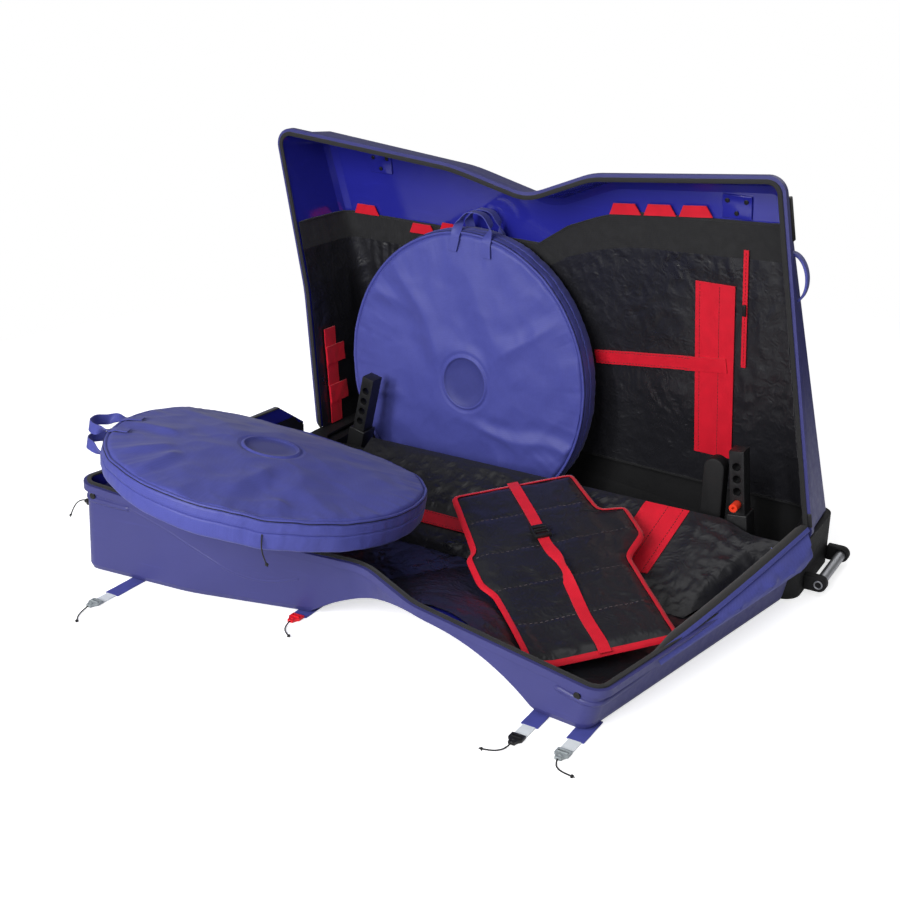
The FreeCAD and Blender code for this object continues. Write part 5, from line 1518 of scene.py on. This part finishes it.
REAR_FOLDS = (
    # start, end, width, height share
    ((-0.187, 0.253), (-0.06, 0.05), 0.034, 0.9),
    ((0.020, 0.260), (0.09, 0.08), 0.040, 0.7),
    ((0.230, 0.155), (0.10, 0.08), 0.022, 0.7),
    ((0.285, -0.150), (0.05, -0.105), 0.020, 0.9),
    ((0.290, -0.205), (0.20, -0.165), 0.016, 0.6),
    ((-0.320, -0.040), (-0.20, -0.07), 0.026, 0.7),
    ((-0.095, -0.205), (0.04, -0.285), 0.030, 0.5),
    ((-0.280, 0.170), (-0.17, 0.14), 0.022, 0.7),
    ((0.110, -0.180), (0.09, -0.300), 0.028, 0.5),
    ((-0.230, -0.120), (-0.10, -0.20), 0.040, 0.5),
)
FRONT_FOLDS = (
    ((-0.310, 0.06), (-0.08, 0.02), 0.034, 0.45),
    ((-0.215, 0.20), (-0.05, 0.10), 0.036, 0.35),
    ((0.105, -0.25), (0.06, -0.12), 0.024, 0.8),
    ((0.270, -0.13), (0.10, -0.05), 0.044, 0.5),
    ((-0.060, -0.30), (-0.10, -0.20), 0.018, 0.7),
    ((0.270, 0.12), (0.10, 0.05), 0.044, 0.35),
    ((-0.290, -0.13), (-0.17, -0.10), 0.020, 0.7),
    ((-0.170, -0.26), (-0.13, -0.17), 0.018, 0.6),
    ((0.200, -0.25), (0.17, -0.18), 0.020, 0.6),
)


def fold_height(x, y, folds):
    """Sum of soft ridges, each along its own line."""
    total = 0.0
    for (ax, ay), (bx, by), width, share in folds:
        dx, dy = bx - ax, by - ay
        long = math.hypot(dx, dy)
        t = ((x - ax) * dx + (y - ay) * dy) / long ** 2
        inside = eased(min(t + FOLD_ENDS[0], FOLD_ENDS[1] - t) / FOLD_ENDS[2])
        if inside <= 0.0:
            continue
        gap = ((x - ax) * dy - (y - ay) * dx) / long / width
        crest = math.exp(-abs(gap) ** FOLD_CREST) - FOLD_DIP * math.exp(-(gap - FOLD_DIP_AT) ** 2)
        total += share * crest * inside
    return total


def bag_profile(radius, piping):
    """Rings from the middle of the show face over the gusset to the middle of the back."""
    top = BAG_HALF + BAG_CROWN
    rings = [(HUB_MIDDLE, top - HUB_SINK, PIPED), (BAG_HUB * 0.5, top - HUB_SINK, PIPED)]
    rings += [(BAG_HUB - inset * piping, top + rise, PIPED) for inset, rise in HUB_SECTION]
    start, end = BAG_HUB + FACE_LIMITS[0] * piping, radius - FACE_LIMITS[1] * piping
    for k in range(BAG_FACE_RINGS + 1):
        share = k / BAG_FACE_RINGS
        crown = (BAG_CROWN - FACE_RISE[0]) * (1 - share) ** FACE_POWER
        rings.append((mixed(start, end, share), BAG_HALF + crown + FACE_RISE[1], SHOW_FACE))
    rings += [(radius - inset * piping, BAG_HALF + rise, PIPED) for inset, rise in RIM_SECTION]
    wall = [(radius - tuck, height, GROOVE) for tuck, height in GROOVE_PLACES]
    for k in range(WALL_RINGS + 1):
        share = k / WALL_RINGS
        height = mixed(BAG_HALF - WALL_ENDS[0], -BAG_HALF + WALL_ENDS[1], share)
        wall.append((radius - WALL_IN + WALL_SWELL * math.sin(share * math.pi), height, SIDE_WALL))
    wall.sort(key=lambda ring: -ring[1])
    back = [(radius - inset * piping, -BAG_HALF + rise, PIPED) for inset, rise in BACK_SECTION]
    for k in range(1, BACK_RINGS + 1):
        back.append((mixed(back[1][0], HUB_MIDDLE, k / BACK_RINGS), -BAG_HALF, PIPED))
    return rings + wall + back


def ring_noise(around, scale, layer):
    return noise.noise(around * scale + Vector((0, 0, layer)))


def slumped(y):
    """Lower part of a standing bag, settled on the floor of the base."""
    if y > SLUMP_FROM:
        return y
    return SLUMP_FROM - (SLUMP_FROM - y) * SLUMP_KEEP


def bag_piece(name, matrix, radius, folds, sizes, seed, hub=(0.0, 0.0), sag=0.0, stands=False):
    rows = []
    lean = math.radians(SLACK_SIDE)
    for ring_radius, height, kind in bag_profile(radius, sizes.piping):
        row = []
        inner = 1.0 - ring_radius / radius if kind in (PIPED, SHOW_FACE) else 0.0
        for c in range(BAG_AROUND):
            angle = 2 * math.pi * c / BAG_AROUND
            x, y = ring_radius * math.cos(angle), ring_radius * math.sin(angle)
            r, h = ring_radius, height
            rim = math.exp(-(radius - ring_radius) / RIM_FADE)
            around = Vector((math.cos(angle), math.sin(angle), 0))
            pucker = ring_noise(around, PUCKER_SCALE, seed)
            if kind == SHOW_FACE:
                calm = eased((ring_radius - BAG_HUB) / CALM_HUB) * eased((radius - ring_radius) / CALM_RIM)
                spot = Vector((x * FACE_SCALE, y * FACE_SCALE, seed))
                bent = noise.noise_vector(spot * FACE_BEND_SCALE) * FACE_BEND
                h += sizes.bag_fold * fold_height(x + bent.x, y + bent.y, folds) * calm
                for swell, scale in FACE_SWELLS:
                    h += swell * noise.noise(spot * scale) * calm
                ridge, level, steep, scale = FACE_RIDGE
                h += ridge * max(0.0, level - steep * abs(noise.noise(spot * scale))) * calm
                h += PUCKER * pucker * rim * calm
                gather = ring_noise(around, BAG_GATHERS, seed + GATHER_LAYER)
                h += BAG_GATHER * gather * math.exp(-(radius - ring_radius) / GATHER_FADE) * calm
            elif kind in (SIDE_WALL, GROOVE):
                ripple = ring_noise(around, RIPPLE_SCALE, seed + h * RIPPLE_TURN)
                r += RIPPLE * ripple + WALL_PUCKER * pucker
                x, y = r * math.cos(angle), r * math.sin(angle)
            outer = (ring_radius / radius) ** OUTER_POWER
            h += BAG_WARP * outer * ring_noise(around, WARP_SCALE, seed + WARP_LAYER)
            h -= sag * max(0.0, (SAG_WAY[0] * x + SAG_WAY[1] * y) / radius) ** 2
            if stands:
                y = slumped(y * STAND_TALL + STAND_DOWN)
            else:
                h *= 1.0 - SLACK * outer * max(0.0, math.cos(angle - lean)) ** SLACK_POWER
            row.append(matrix @ Vector((x + hub[0] * inner, y + hub[1] * inner, h)))
        rows.append(row)
    bag = grid_piece(name, rows, wrap=True)
    close_ends(bag)
    smooth(bag, BAG_DEGREES)
    bag.data.materials.append(finish_of("nylon_purple"))
    bag.data.materials.append(finish_of("nylon_hub"))
    # Painted shade: the hub rings and the capped middles take the darker copy of the nylon.
    for face in bag.data.polygons:
        if face.index < HUB_RINGS * BAG_AROUND or len(face.vertices) > 4:
            face.material_index = 1
    # Painted shade: a thin tube in the concave between the piping and the gusset, given the near-black nylon copy.
    ring = rows[-SEAM_RING]
    seam = tube_piece(name + "_seam", ring + ring[:2], BAG_SEAM_RADIUS, BAG_SEAM_SIDES)
    return bag, seam


def bag_handles(name, matrix, radius, turn, sizes, bag):
    """Two webbing loops over the edge, their tails sewn to the faces."""
    spin = matrix @ Matrix.Rotation(math.radians(turn), 4, "Z")
    back_way = spin.inverted()
    tree = mesh_tree(bag.data)
    flat, up = Vector((GRIP_HALF, 0, 0)), Vector((0, 0, GRIP_HALF))
    loops = []
    for side in (1, -1):
        level = side * (BAG_HALF - GRIP_IN)
        tail = []
        for x, back in GRIP_TAIL:
            start = Vector((x, radius - back, side * GRIP_START))
            hit = tree.ray_cast(spin @ start, spin.to_3x3() @ Vector((0, 0, -side)))[0]
            face = (back_way @ hit).z if hit else side * BAG_HALF
            tail.append(((x, radius - back, face + side * GRIP_RISE), flat))
        tail += [((0.043, radius + 0.008, level + side * 0.006), (flat + up) * 0.75),
                 ((0.039, radius + 0.024, level), up), ((0.022, radius + 0.042, level), up)]
        mirror = [((-c[0], c[1], c[2]), Vector((-w[0], w[1], w[2]))) for c, w in reversed(tail)]
        stations = tail + [((0.0, radius + 0.046, level), up)] + mirror
        loop = ribbon(name + ("_near" if side > 0 else "_far"), stations, sizes.webbing)
        loops.append(placed(loop, spin))
    return joined(name, loops)


class CASE_OT_wheel_bags(bpy.types.Operator):
    """Round wheel bags with piped seams, hub discs and webbing handles"""
    bl_idname = "case.wheel_bags"
    bl_label = "Wheel bags"

    def execute(self, context):
        sizes = context.scene.case_sizes
        rear, seam = bag_piece("rear_bag_cloth", REAR_BAG, REAR_BAG_RADIUS, REAR_FOLDS, sizes, REAR_SEED,
                               hub=REAR_HUB, stands=True)
        settle(rear, "case", "nylon_purple", "rear_wheel_bag")
        settle(seam, "case", "nylon_purple", finish="nylon_seam")
        grips = bag_handles("rear_bag_loops", REAR_BAG, REAR_BAG_RADIUS, REAR_GRIP_TURN, sizes, rear)
        settle(grips, "case", "nylon_purple", "rear_bag_handles")
        front, seam = bag_piece("front_bag_cloth", FRONT_BAG, FRONT_BAG_RADIUS, FRONT_FOLDS, sizes,
                                FRONT_SEED, sag=FRONT_SAG)
        settle(front, "front_half", "nylon_purple", "front_wheel_bag")
        settle(seam, "front_half", "nylon_purple", finish="nylon_seam")
        grips = bag_handles("front_bag_loops", FRONT_BAG, FRONT_BAG_RADIUS, FRONT_GRIP_TURN, sizes, front)
        settle(grips, "front_half", "nylon_purple", "front_bag_handles")
        for piece in (front, seam, grips):
            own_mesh(piece)
        return {"FINISHED"}


# Frame pad

PAD = (Matrix.Translation((0.207, -0.323, 0.096)) @ Matrix.Rotation(math.radians(47.0), 4, "Z")
       @ Matrix.Rotation(math.radians(10.8), 4, "X") @ Matrix.Rotation(math.radians(-5.5), 4, "Y"))
PAD_FOOT, PAD_HEAD = -0.300, 0.280
PAD_RIGHT = ((-0.300, 0.152), (-0.040, 0.152), (0.020, 0.210), (0.126, 0.210), (0.134, 0.152), (0.280, 0.141))
PAD_LEFT = ((-0.300, -0.152), (-0.080, -0.152), (-0.040, -0.170), (0.061, -0.170), (0.069, -0.152),
            (0.280, -0.141))
PAD_THICK = 0.012
PAD_EDGE = 0.004
PAD_CHANNELS = 4
PAD_ACROSS = 44
PAD_ROWS = 96
PAD_REACH = 0.06
PAD_CLEAR = 0.005
PAD_CELLS = 40
PAD_BLURS = 2
PAD_SPAN = 0.34
PAD_LIFT_MOST = 0.035
STITCH_LONG = 0.006
STITCH_PITCH = 0.011
STITCH_INSET = 0.015
STITCH_RISE = 0.0002
PAD_PUFF = 0.03
PAD_CALM = 0.02
PAD_DIP = (0.0016, 0.005)
PAD_BILLOW = 0.0022
PAD_CREASE = 0.0018
PAD_UNDER = 0.0006
BINDING_STEP = 0.006
BINDING_ROUNDS = 6
BINDING_WAVE = 0.0006
BINDING_THICK = 0.0011
BINDING_TOP = ((1.0, 0.0042), (0.5, 0.0036), (0.0, 0.0012))
BINDING_OUT = -0.0022
BINDING_UNDER = ((0.0, -0.0002), (0.5, -0.0004), (1.0, -0.0004))
PAD_STRAP_HALF = 0.0125
PAD_STRAP_RISE = 0.0026
PAD_STRAP_EDGE = 0.0065
PAD_BUCKLE = (0.038, 0.040, 0.008)
PAD_BUCKLE_PLACE = (0, 0.082, PAD_THICK + 0.0035 + 0.004)


def along_table(table, y):
    for (y0, x0), (y1, x1) in zip(table, table[1:]):
        if y <= y1:
            return mixed(x0, x1, (y - y0) / (y1 - y0))
    return table[-1][1]


def pad_channel_places():
    return [mixed(PAD_FOOT, PAD_HEAD, (k + 1) / (PAD_CHANNELS + 1)) for k in range(PAD_CHANNELS)]


def edge_gap(x, y):
    """Distance from the pad's outline."""
    here = Vector((x, y, 0))
    corners = pad_outline()
    gaps = []
    for i, corner in enumerate(corners):
        after = corners[(i + 1) % len(corners)]
        along = after - corner
        share = min(1.0, max(0.0, (here - corner).dot(along) / along.length_squared))
        gaps.append((here - corner - along * share).length)
    return min(gaps)


def pad_top(x, y):
    """Height of the quilted top: full between channels, thin at the edge."""
    edge = edge_gap(x, y)
    puff = PAD_EDGE + (PAD_THICK - PAD_EDGE) * eased(edge / PAD_PUFF)
    channel = min(abs(y - place) for place in pad_channel_places())
    dip = PAD_DIP[0] * math.exp(-(channel / PAD_DIP[1]) ** 2)
    billow = PAD_BILLOW * noise.noise(Vector((x * 14.0, y * 14.0, 1.5)))
    crease = PAD_CREASE * max(0.0, 1.0 - 2.6 * abs(noise.noise(Vector((x * 26.0, y * 16.0, 5.5)))))
    return puff - dip + (billow + crease) * eased(edge / PAD_CALM)


class PadRest:
    """Lifts the pad where the lining below would come through it."""

    def __init__(self):
        verts, faces = [], []
        for name in ("front_lining_cloth", "fold_apron_cloth"):
            mesh = bpy.data.objects[name].data
            base = len(verts)
            verts += [v.co.copy() for v in mesh.vertices]
            faces += [[base + i for i in f.vertices] for f in mesh.polygons]
        self.tree = BVHTree.FromPolygons(verts, faces)
        cells = range(PAD_CELLS + 1)
        self.lifts = [[self.needed(self.spot(c), self.spot(r)) for c in cells] for r in cells]
        for _ in range(PAD_BLURS):
            self.lifts = [[self.around(r, c) for c in cells] for r in cells]

    def spot(self, cell):
        return mixed(-PAD_SPAN, PAD_SPAN, cell / PAD_CELLS)

    def needed(self, x, y):
        base = PAD @ Vector((x, y, 0))
        hit = self.tree.ray_cast(base + Vector((0, 0, PAD_REACH)), Vector((0, 0, -1)))[0]
        return min(PAD_LIFT_MOST, max(0.0, hit.z + PAD_CLEAR - base.z)) if hit else 0.0

    def around(self, r, c):
        last = PAD_CELLS
        near = [self.lifts[min(last, max(0, r + i))][min(last, max(0, c + j))]
                for i in (-1, 0, 1) for j in (-1, 0, 1)]
        return sum(near) / len(near)

    def place(self, x, y, h):
        across = min(0.999, max(0.0, (x / PAD_SPAN + 1) / 2)) * PAD_CELLS
        along = min(0.999, max(0.0, (y / PAD_SPAN + 1) / 2)) * PAD_CELLS
        c, r = int(across), int(along)
        near = mixed(self.lifts[r][c], self.lifts[r][c + 1], across - c)
        far = mixed(self.lifts[r + 1][c], self.lifts[r + 1][c + 1], across - c)
        return PAD @ Vector((x, y, h)) + Vector((0, 0, mixed(near, far, along - r)))


def pad_piece(rest):
    upper, lower = [], []
    for r in range(PAD_ROWS + 1):
        y = mixed(PAD_FOOT, PAD_HEAD, r / PAD_ROWS)
        left, right = along_table(PAD_LEFT, y), along_table(PAD_RIGHT, y)
        xs = [mixed(left, right, c / PAD_ACROSS) for c in range(PAD_ACROSS + 1)]
        upper.append([rest.place(x, y, pad_top(x, y)) for x in xs])
        lower.append([rest.place(x, y, PAD_UNDER) for x in xs])
    top = grid_piece("frame_pad_cloth", upper)
    under = grid_piece("frame_pad_under", lower)
    pad = joined("frame_pad_cloth", [top, under])
    close_ends(pad, bpy.ops.mesh.bridge_edge_loops)
    smooth(pad, ROUND_DEGREES)
    return pad


def pad_outline():
    right = [Vector((x, y, 0)) for y, x in PAD_RIGHT]
    left = [Vector((x, y, 0)) for y, x in reversed(PAD_LEFT)]
    return right + left


def pad_binding(width, rest):
    """Red binding folded over the pad's edge all the way round."""
    section = [(width * share, PAD_EDGE + rise) for share, rise in BINDING_TOP]
    section.append((BINDING_OUT, PAD_EDGE * 0.5))
    section += [(width * share, height) for share, height in BINDING_UNDER]
    corners = pad_outline()
    line = []
    count = len(corners)
    for i, here in enumerate(corners):
        after = corners[(i + 1) % count]
        steps = max(2, int((after - here).length / BINDING_STEP))
        line += [mixed(here, after, k / steps) for k in range(steps)]
    for _ in range(BINDING_ROUNDS):
        line = [(line[i - 1] + line[i] * 2 + line[(i + 1) % len(line)]) / 4 for i in range(len(line))]
    rows = []
    count = len(line)
    for i, here in enumerate(line):
        along = (line[(i + 1) % count] - line[i - 1]).normalized()
        out = Vector((along.y, -along.x, 0))
        wave = BINDING_WAVE * noise.noise(Vector((i * 0.21, 0.5, 0.5)))
        row = []
        for inset, height in section:
            spot = here - out * (inset + wave)
            row.append(rest.place(spot.x, spot.y, height))
        rows.append(row)
    rows.append(rows[0])
    band = grid_piece("frame_pad_binding", rows)
    edited(band, MERGE)
    modify(band, "SOLIDIFY", thickness=BINDING_THICK, offset=0.0)
    smooth(band, BAND_DEGREES)
    return band


def pad_stitches(rest):
    """Thread of the channels, stitch by stitch."""
    bars = []
    up = PAD.to_3x3() @ Vector((0, 0, 1))
    for place in pad_channel_places():
        left, right = along_table(PAD_LEFT, place), along_table(PAD_RIGHT, place)
        count = int((right - left - 2 * STITCH_INSET) / STITCH_PITCH)
        for k in range(count):
            x = left + STITCH_INSET + (k + 0.5) * STITCH_PITCH
            ends = []
            for end in (-0.5, 0.5):
                spot = x + end * STITCH_LONG
                ends.append(rest.place(spot, place, pad_top(spot, place) + STITCH_RISE))
            bars.append((ends[0], ends[1], up))
    return thread_piece("frame_pad_stitches", bars, PAD_THREAD_RADIUS)


class CASE_OT_frame_pad(bpy.types.Operator):
    """Quilted frame pad with red binding, strap and buckle"""
    bl_idname = "case.frame_pad"
    bl_label = "Frame pad"

    def execute(self, context):
        sizes = context.scene.case_sizes
        rest = PadRest()
        pad = settle(pad_piece(rest), "front_half", "lining_black", "frame_pad")
        settle(pad_binding(sizes.binding, rest), "front_half", "webbing_red")
        settle(pad_stitches(rest), "front_half", "hook_grey", finish="thread_grey")
        strap = self.strap(sizes)
        settle(strap, "front_half", "webbing_red", "frame_pad_strap")
        settle(self.buckle(), "front_half", "fitting_black", "frame_pad_buckle")
        return {"FINISHED"}

    def strap(self, sizes):
        half = PAD_STRAP_HALF
        lift = PAD_THICK + PAD_STRAP_RISE
        edge = PAD_EDGE + PAD_STRAP_EDGE
        stations = [((0.0, PAD_HEAD + 0.002, edge), (half, 0, 0)),
                    ((0.0, PAD_HEAD - 0.014, edge + 0.002), (half, 0, 0)),
                    ((0.0, 0.235, lift), (half, 0, 0)), ((0.002, 0.14, lift), (half, 0, 0)),
                    ((0.0, 0.09, lift + 0.001), (half, 0, 0)), ((0.0, 0.04, lift), (half, 0.002, 0)),
                    ((0.004, -0.010, lift + 0.003), (half * 0.75, 0, half * 0.45)),
                    ((0.004, -0.050, lift + 0.005), (half * 0.3, 0, half * 0.8)),
                    ((0.002, -0.085, lift + 0.004), (half * 0.7, 0, half * 0.5)),
                    ((0.0, -0.13, lift + 0.001), (half, 0, 0.002)), ((-0.003, -0.20, lift), (half, 0, 0)),
                    ((0.0, PAD_FOOT + 0.030, lift), (half, 0, 0)),
                    ((0.0, PAD_FOOT + 0.012, edge + 0.002), (half, 0, 0)),
                    ((0.0, PAD_FOOT - 0.002, edge), (half, 0, 0))]
        return placed(ribbon("frame_pad_webbing", stations, sizes.webbing), PAD)

    def buckle(self):
        return placed(ladder_buckle("frame_pad_ladder", *PAD_BUCKLE),
                      PAD @ Matrix.Translation(PAD_BUCKLE_PLACE))


# Moulded small fittings

def boxed(size, place=(0, 0, 0)):
    deselect()
    bpy.ops.mesh.primitive_cube_add(size=1.0, location=place)
    box = bpy.context.active_object
    box.scale = size
    bpy.ops.object.transform_apply(location=True, rotation=True, scale=True)
    return box


def carved(body, tool):
    modify(body, "BOOLEAN", operation="DIFFERENCE", object=tool, solver="EXACT")
    bpy.data.objects.remove(tool)


def bevelled(obj, width, degrees):
    modify(obj, "BEVEL", width=width, segments=2, limit_method="ANGLE", angle_limit=math.radians(degrees))


def ladder_buckle(name, wide, long, thick):
    """A webbing buckle: a frame with two slots, a raised bar and rounded edges."""
    body = boxed((wide, long, thick))
    for y in (-long * 0.2, long * 0.2):
        carved(body, boxed((wide * 0.74, long * 0.16, thick * 3), (0, y, 0)))
    bevelled(body, thick * 0.16, SHARP_DEGREES)
    bar = boxed((wide * 0.8, long * 0.12, thick * 0.5), (0, 0, thick * 0.62))
    bevelled(bar, thick * 0.15, SHARP_DEGREES)
    buckle = joined(name, [body, bar])
    smooth(buckle)
    return buckle


def strap_hook(name, long, wide, thick):
    """A cord-lock hook along local X: a webbing slot at its root, a waisted body and an eye at its tip."""
    body = boxed((long, wide, thick * 0.62), (long / 2, 0, thick * 0.42))
    carved(body, boxed((long * 0.16, wide * 0.74, thick * 3), (long * 0.22, 0, thick / 2)))
    for side in (1, -1):
        deselect()
        bpy.ops.mesh.primitive_cylinder_add(vertices=40, radius=wide * 0.62, depth=thick * 3,
                                            location=(long, side * wide * 0.86, thick / 2))
        carved(body, bpy.context.active_object)
    bevelled(body, thick * 0.12, HOOK_DEGREES)
    ridge = boxed((long * 0.1, wide * 0.8, thick * 0.3), (long * 0.42, 0, thick * 0.82))
    bevelled(ridge, thick * 0.1, HOOK_DEGREES)
    eye = torus(wide * 0.17, thick * 0.16, 24, 10, (long * 0.86, 0, thick * 0.72))
    hook = joined(name, [body, ridge, eye])
    smooth(hook)
    return hook


class CASE_OT_straps(bpy.types.Operator):
    """Closing straps of the front half: tabs, webbing and hooks"""
    bl_idname = "case.straps"
    bl_label = "Closing straps"

    def execute(self, context):
        cloth_node("strap_tabs", "strap_tab_cloth", 14, 0.0012, 0.03)
        for name, (seat, out, across) in STRAP_SEATS.items():
            start = STRAP_GAP
            if name != "waist":
                cloth_node(name + "_strap_web", name + "_strap_webbing", 8, 0.0006, 0.02)
                start += WEB_LONG + STRAP_GAP / 2
            hook = strap_hook(name + "_strap_lock", HOOK_LONG, HOOK_WIDE, HOOK_THICK)
            turn = Matrix((Vector(out), Vector(across), Vector((0, 0, 1)))).transposed().to_4x4()
            placed(hook, Matrix.Translation(Vector(seat) + Vector(out) * start) @ turn)
            if turn.determinant() < 0:
                hook.data.flip_normals()
            settle(hook, name + "_strap", SLOT_OF[name + "_strap_hook"], name + "_strap_hook")
        return {"FINISHED"}


class CASE_OT_webbing(bpy.types.Operator):
    """Red webbing, strips and loops sewn to the linings"""
    bl_idname = "case.webbing"
    bl_label = "Sewn webbing"

    def execute(self, context):
        cloth_node("rear_hook_strip", "rear_strip_felt", 26, 0.0012, 0.05, seams=(-0.22, 0.78))
        cloth_node("rear_belt", "rear_belt_webbing", 18, 0.0022, 0.05, seams=(-0.75, 0.75))
        cloth_node("pocket_zip", "pocket_zip_tape", 16, 0.0008, 0.05, seams=(0.0,))
        cloth_node("rear_webbing_loops", "rear_loop_webbing", 10, 0.0022, 0.04)
        cloth_node("pump_strap", "pump_strap_webbing", 16, 0.0045, 0.05)
        cloth_node("front_belt", "front_belt_webbing", 14, 0.0016, 0.05, seams=(-0.8, 0.8))
        return {"FINISHED"}


CREASE_SIDE = (0.12, -0.99, 0.0)
CREASE_LINE = ((-0.665, -0.72, 0.185), (-0.597, -0.715, 0.171), (-0.508, -0.707, 0.143),
               (-0.422, -0.699, 0.109), (-0.33, -0.684, 0.076), (-0.265, -0.667, 0.0725),
               (-0.197, -0.654, 0.092))
CREASE_REACH = 0.06
CREASE_SUNK = 0.0069
CREASE_RADIUS = 0.0076
CREASE_STEPS = 10
CORNER_BEADS = {"right": (0.40, 0.68, 8.0, 84.0), "left": (-0.58, 0.70, 96.0, 172.0)}
BEAD_STEPS = 36
BEAD_DEPTH = -0.034
BEAD_SWAY = 0.006
BEAD_REACH = 0.5
BEAD_SUNK = 0.0036
BEAD_RADIUS = 0.0070
BEAD_SIDES = 20
RING_SIZES = (0.0082, 0.0017, 48, 12)
INNER_MIDDLE = (-0.06, 0.0, 0.5)
INNER_FACING = 0.02
INNER_LIFT = 0.0015
INNER_RIM = 0.006
RING_PLACE = (0.672, -0.0022, 0.026)


class CASE_OT_fittings(bpy.types.Operator):
    """Rounded mouldings, wheels and metal of the base and the dropout posts"""
    bl_idname = "case.fittings"
    bl_label = "Fittings"

    ROUNDED = {"left_post": 0.0016, "right_post": 0.0016, "post_sleeves": 0.002, "chain_keeper_pad": 0.003,
               "grab_bar_lugs": 0.0025, "wheel_forks": 0.0012, "front_tyre": 0.004, "rear_tyre": 0.004,
               "base_tub": 0.0016, "anchor_plates": 0.0015, "end_buckle": 0.002, "zip_slider": 0.0015,
               "pocket_zip_slider": 0.0012, "rear_zip_tape": 0.0012, "front_zip_tape": 0.0012,
               "anchor_rivets": 0.0012, "front_corner_rivets": 0.0012, "end_handle": 0.0014,
               "axle_pin": 0.001}

    def execute(self, context):
        for node, bevel in self.ROUNDED.items():
            rounded_node(node, node + "_form", bevel)
        for node, obj in NODES.items():
            if not obj.hide_render:
                obj.data.materials.clear()
                obj.data.materials.append(finish_of(SLOT_OF[node]))
        self.moulded_beads()
        self.bar_ring()
        plates = bpy.data.objects["anchor_plates_form"].data.materials
        plates.clear()
        plates.append(finish_of("shell_inner"))
        self.inner_faces("rear_shell", Matrix.Identity(4))
        self.inner_faces("front_shell", to_open().inverted())
        return {"FINISHED"}

    def moulded_beads(self):
        """Raised lines of the front shell: a crease along its wall and a bead round each outer corner."""
        tree = mesh_tree(NODES["front_shell"].data)
        away = Vector(CREASE_SIDE).normalized()
        line = []
        for place in curve_through([Vector(point) for point in CREASE_LINE], CREASE_STEPS):
            hit = tree.ray_cast(place + away * CREASE_REACH, -away)[0]
            if hit:
                line.append(hit - away * CREASE_SUNK)
        crease = tube_piece("front_shell_crease", line, CREASE_RADIUS, BEAD_SIDES)
        settle(crease, "front_half", "shell_purple")
        turn = to_open()
        for name, (x, z, start, end) in CORNER_BEADS.items():
            line = []
            for k in range(BEAD_STEPS + 1):
                angle = math.radians(mixed(start, end, k / BEAD_STEPS))
                out = turn.to_3x3() @ Vector((math.cos(angle), 0, math.sin(angle)))
                sway = BEAD_SWAY * math.sin(k / BEAD_STEPS * math.pi)
                middle = turn @ Vector((x, BEAD_DEPTH - sway, z))
                hit = tree.ray_cast(middle + out * BEAD_REACH, -out)[0]
                if hit:
                    line.append(hit - out * BEAD_SUNK)
            bead = tube_piece("front_shell_%s_bead" % name, line, BEAD_RADIUS, BEAD_SIDES)
            settle(bead, "front_half", "shell_purple")

    def bar_ring(self):
        """Bright ring where the bar's end shows in the near lug."""
        ring = torus(*RING_SIZES, RING_PLACE, (math.pi / 2, 0, 0))
        ring.name = "grab_bar_ring"
        smooth(ring)
        settle(ring, "case", "tube_aluminium")

    def inner_faces(self, node, to_closed):
        """The bare inner wall of a shell is bluer and glossier than its outside."""
        mesh = NODES[node].data
        mesh.materials.append(finish_of("shell_inner"))
        middle = Vector(INNER_MIDDLE)
        spin = to_closed.to_3x3()
        tree = mesh_tree(mesh)
        opening = spin.inverted() @ Vector((0, 1 if node == "front_shell" else -1, 0))
        for face in mesh.polygons:
            centre = to_closed @ face.center
            inward = (spin @ face.normal).dot((middle - centre).normalized()) > INNER_FACING
            start = face.center + face.normal * INNER_LIFT
            if inward and abs(centre.y) > INNER_RIM and tree.ray_cast(start, opening)[0] is None:
                face.material_index = len(mesh.materials) - 1


# Panel, registration and run

OPERATORS = (CASE_OT_stage, CASE_OT_cords, CASE_OT_linings, CASE_OT_fold_cloth, CASE_OT_wheel_bags,
             CASE_OT_frame_pad, CASE_OT_straps, CASE_OT_webbing, CASE_OT_fittings)


class CASE_PT_panel(bpy.types.Panel):
    """Lists the case's sizes, colours and pieces"""
    bl_label = "Bike Travel Case"
    bl_idname = "CASE_PT_panel"
    bl_space_type = "VIEW_3D"
    bl_region_type = "UI"
    bl_category = "Case"

    def draw(self, context):
        for settings in (context.scene.case_sizes, context.scene.case_colours):
            for key in settings.__annotations__:
                self.layout.prop(settings, key)
        for operator in OPERATORS:
            self.layout.operator(operator.bl_idname)


CLASSES = (CaseSizes, CaseColours) + OPERATORS + (CASE_PT_panel,)


def register():
    for item in CLASSES:
        bpy.utils.register_class(item)
    bpy.types.Scene.case_sizes = bpy.props.PointerProperty(type=CaseSizes)
    bpy.types.Scene.case_colours = bpy.props.PointerProperty(type=CaseColours)


def unregister():
    del bpy.types.Scene.case_colours
    del bpy.types.Scene.case_sizes
    for item in reversed(CLASSES):
        bpy.utils.unregister_class(item)


def main():
    register()
    for operator in OPERATORS:
        group, action = operator.bl_idname.split(".")
        getattr(getattr(bpy.ops, group), action)()


if __name__ == "__main__":
    main()
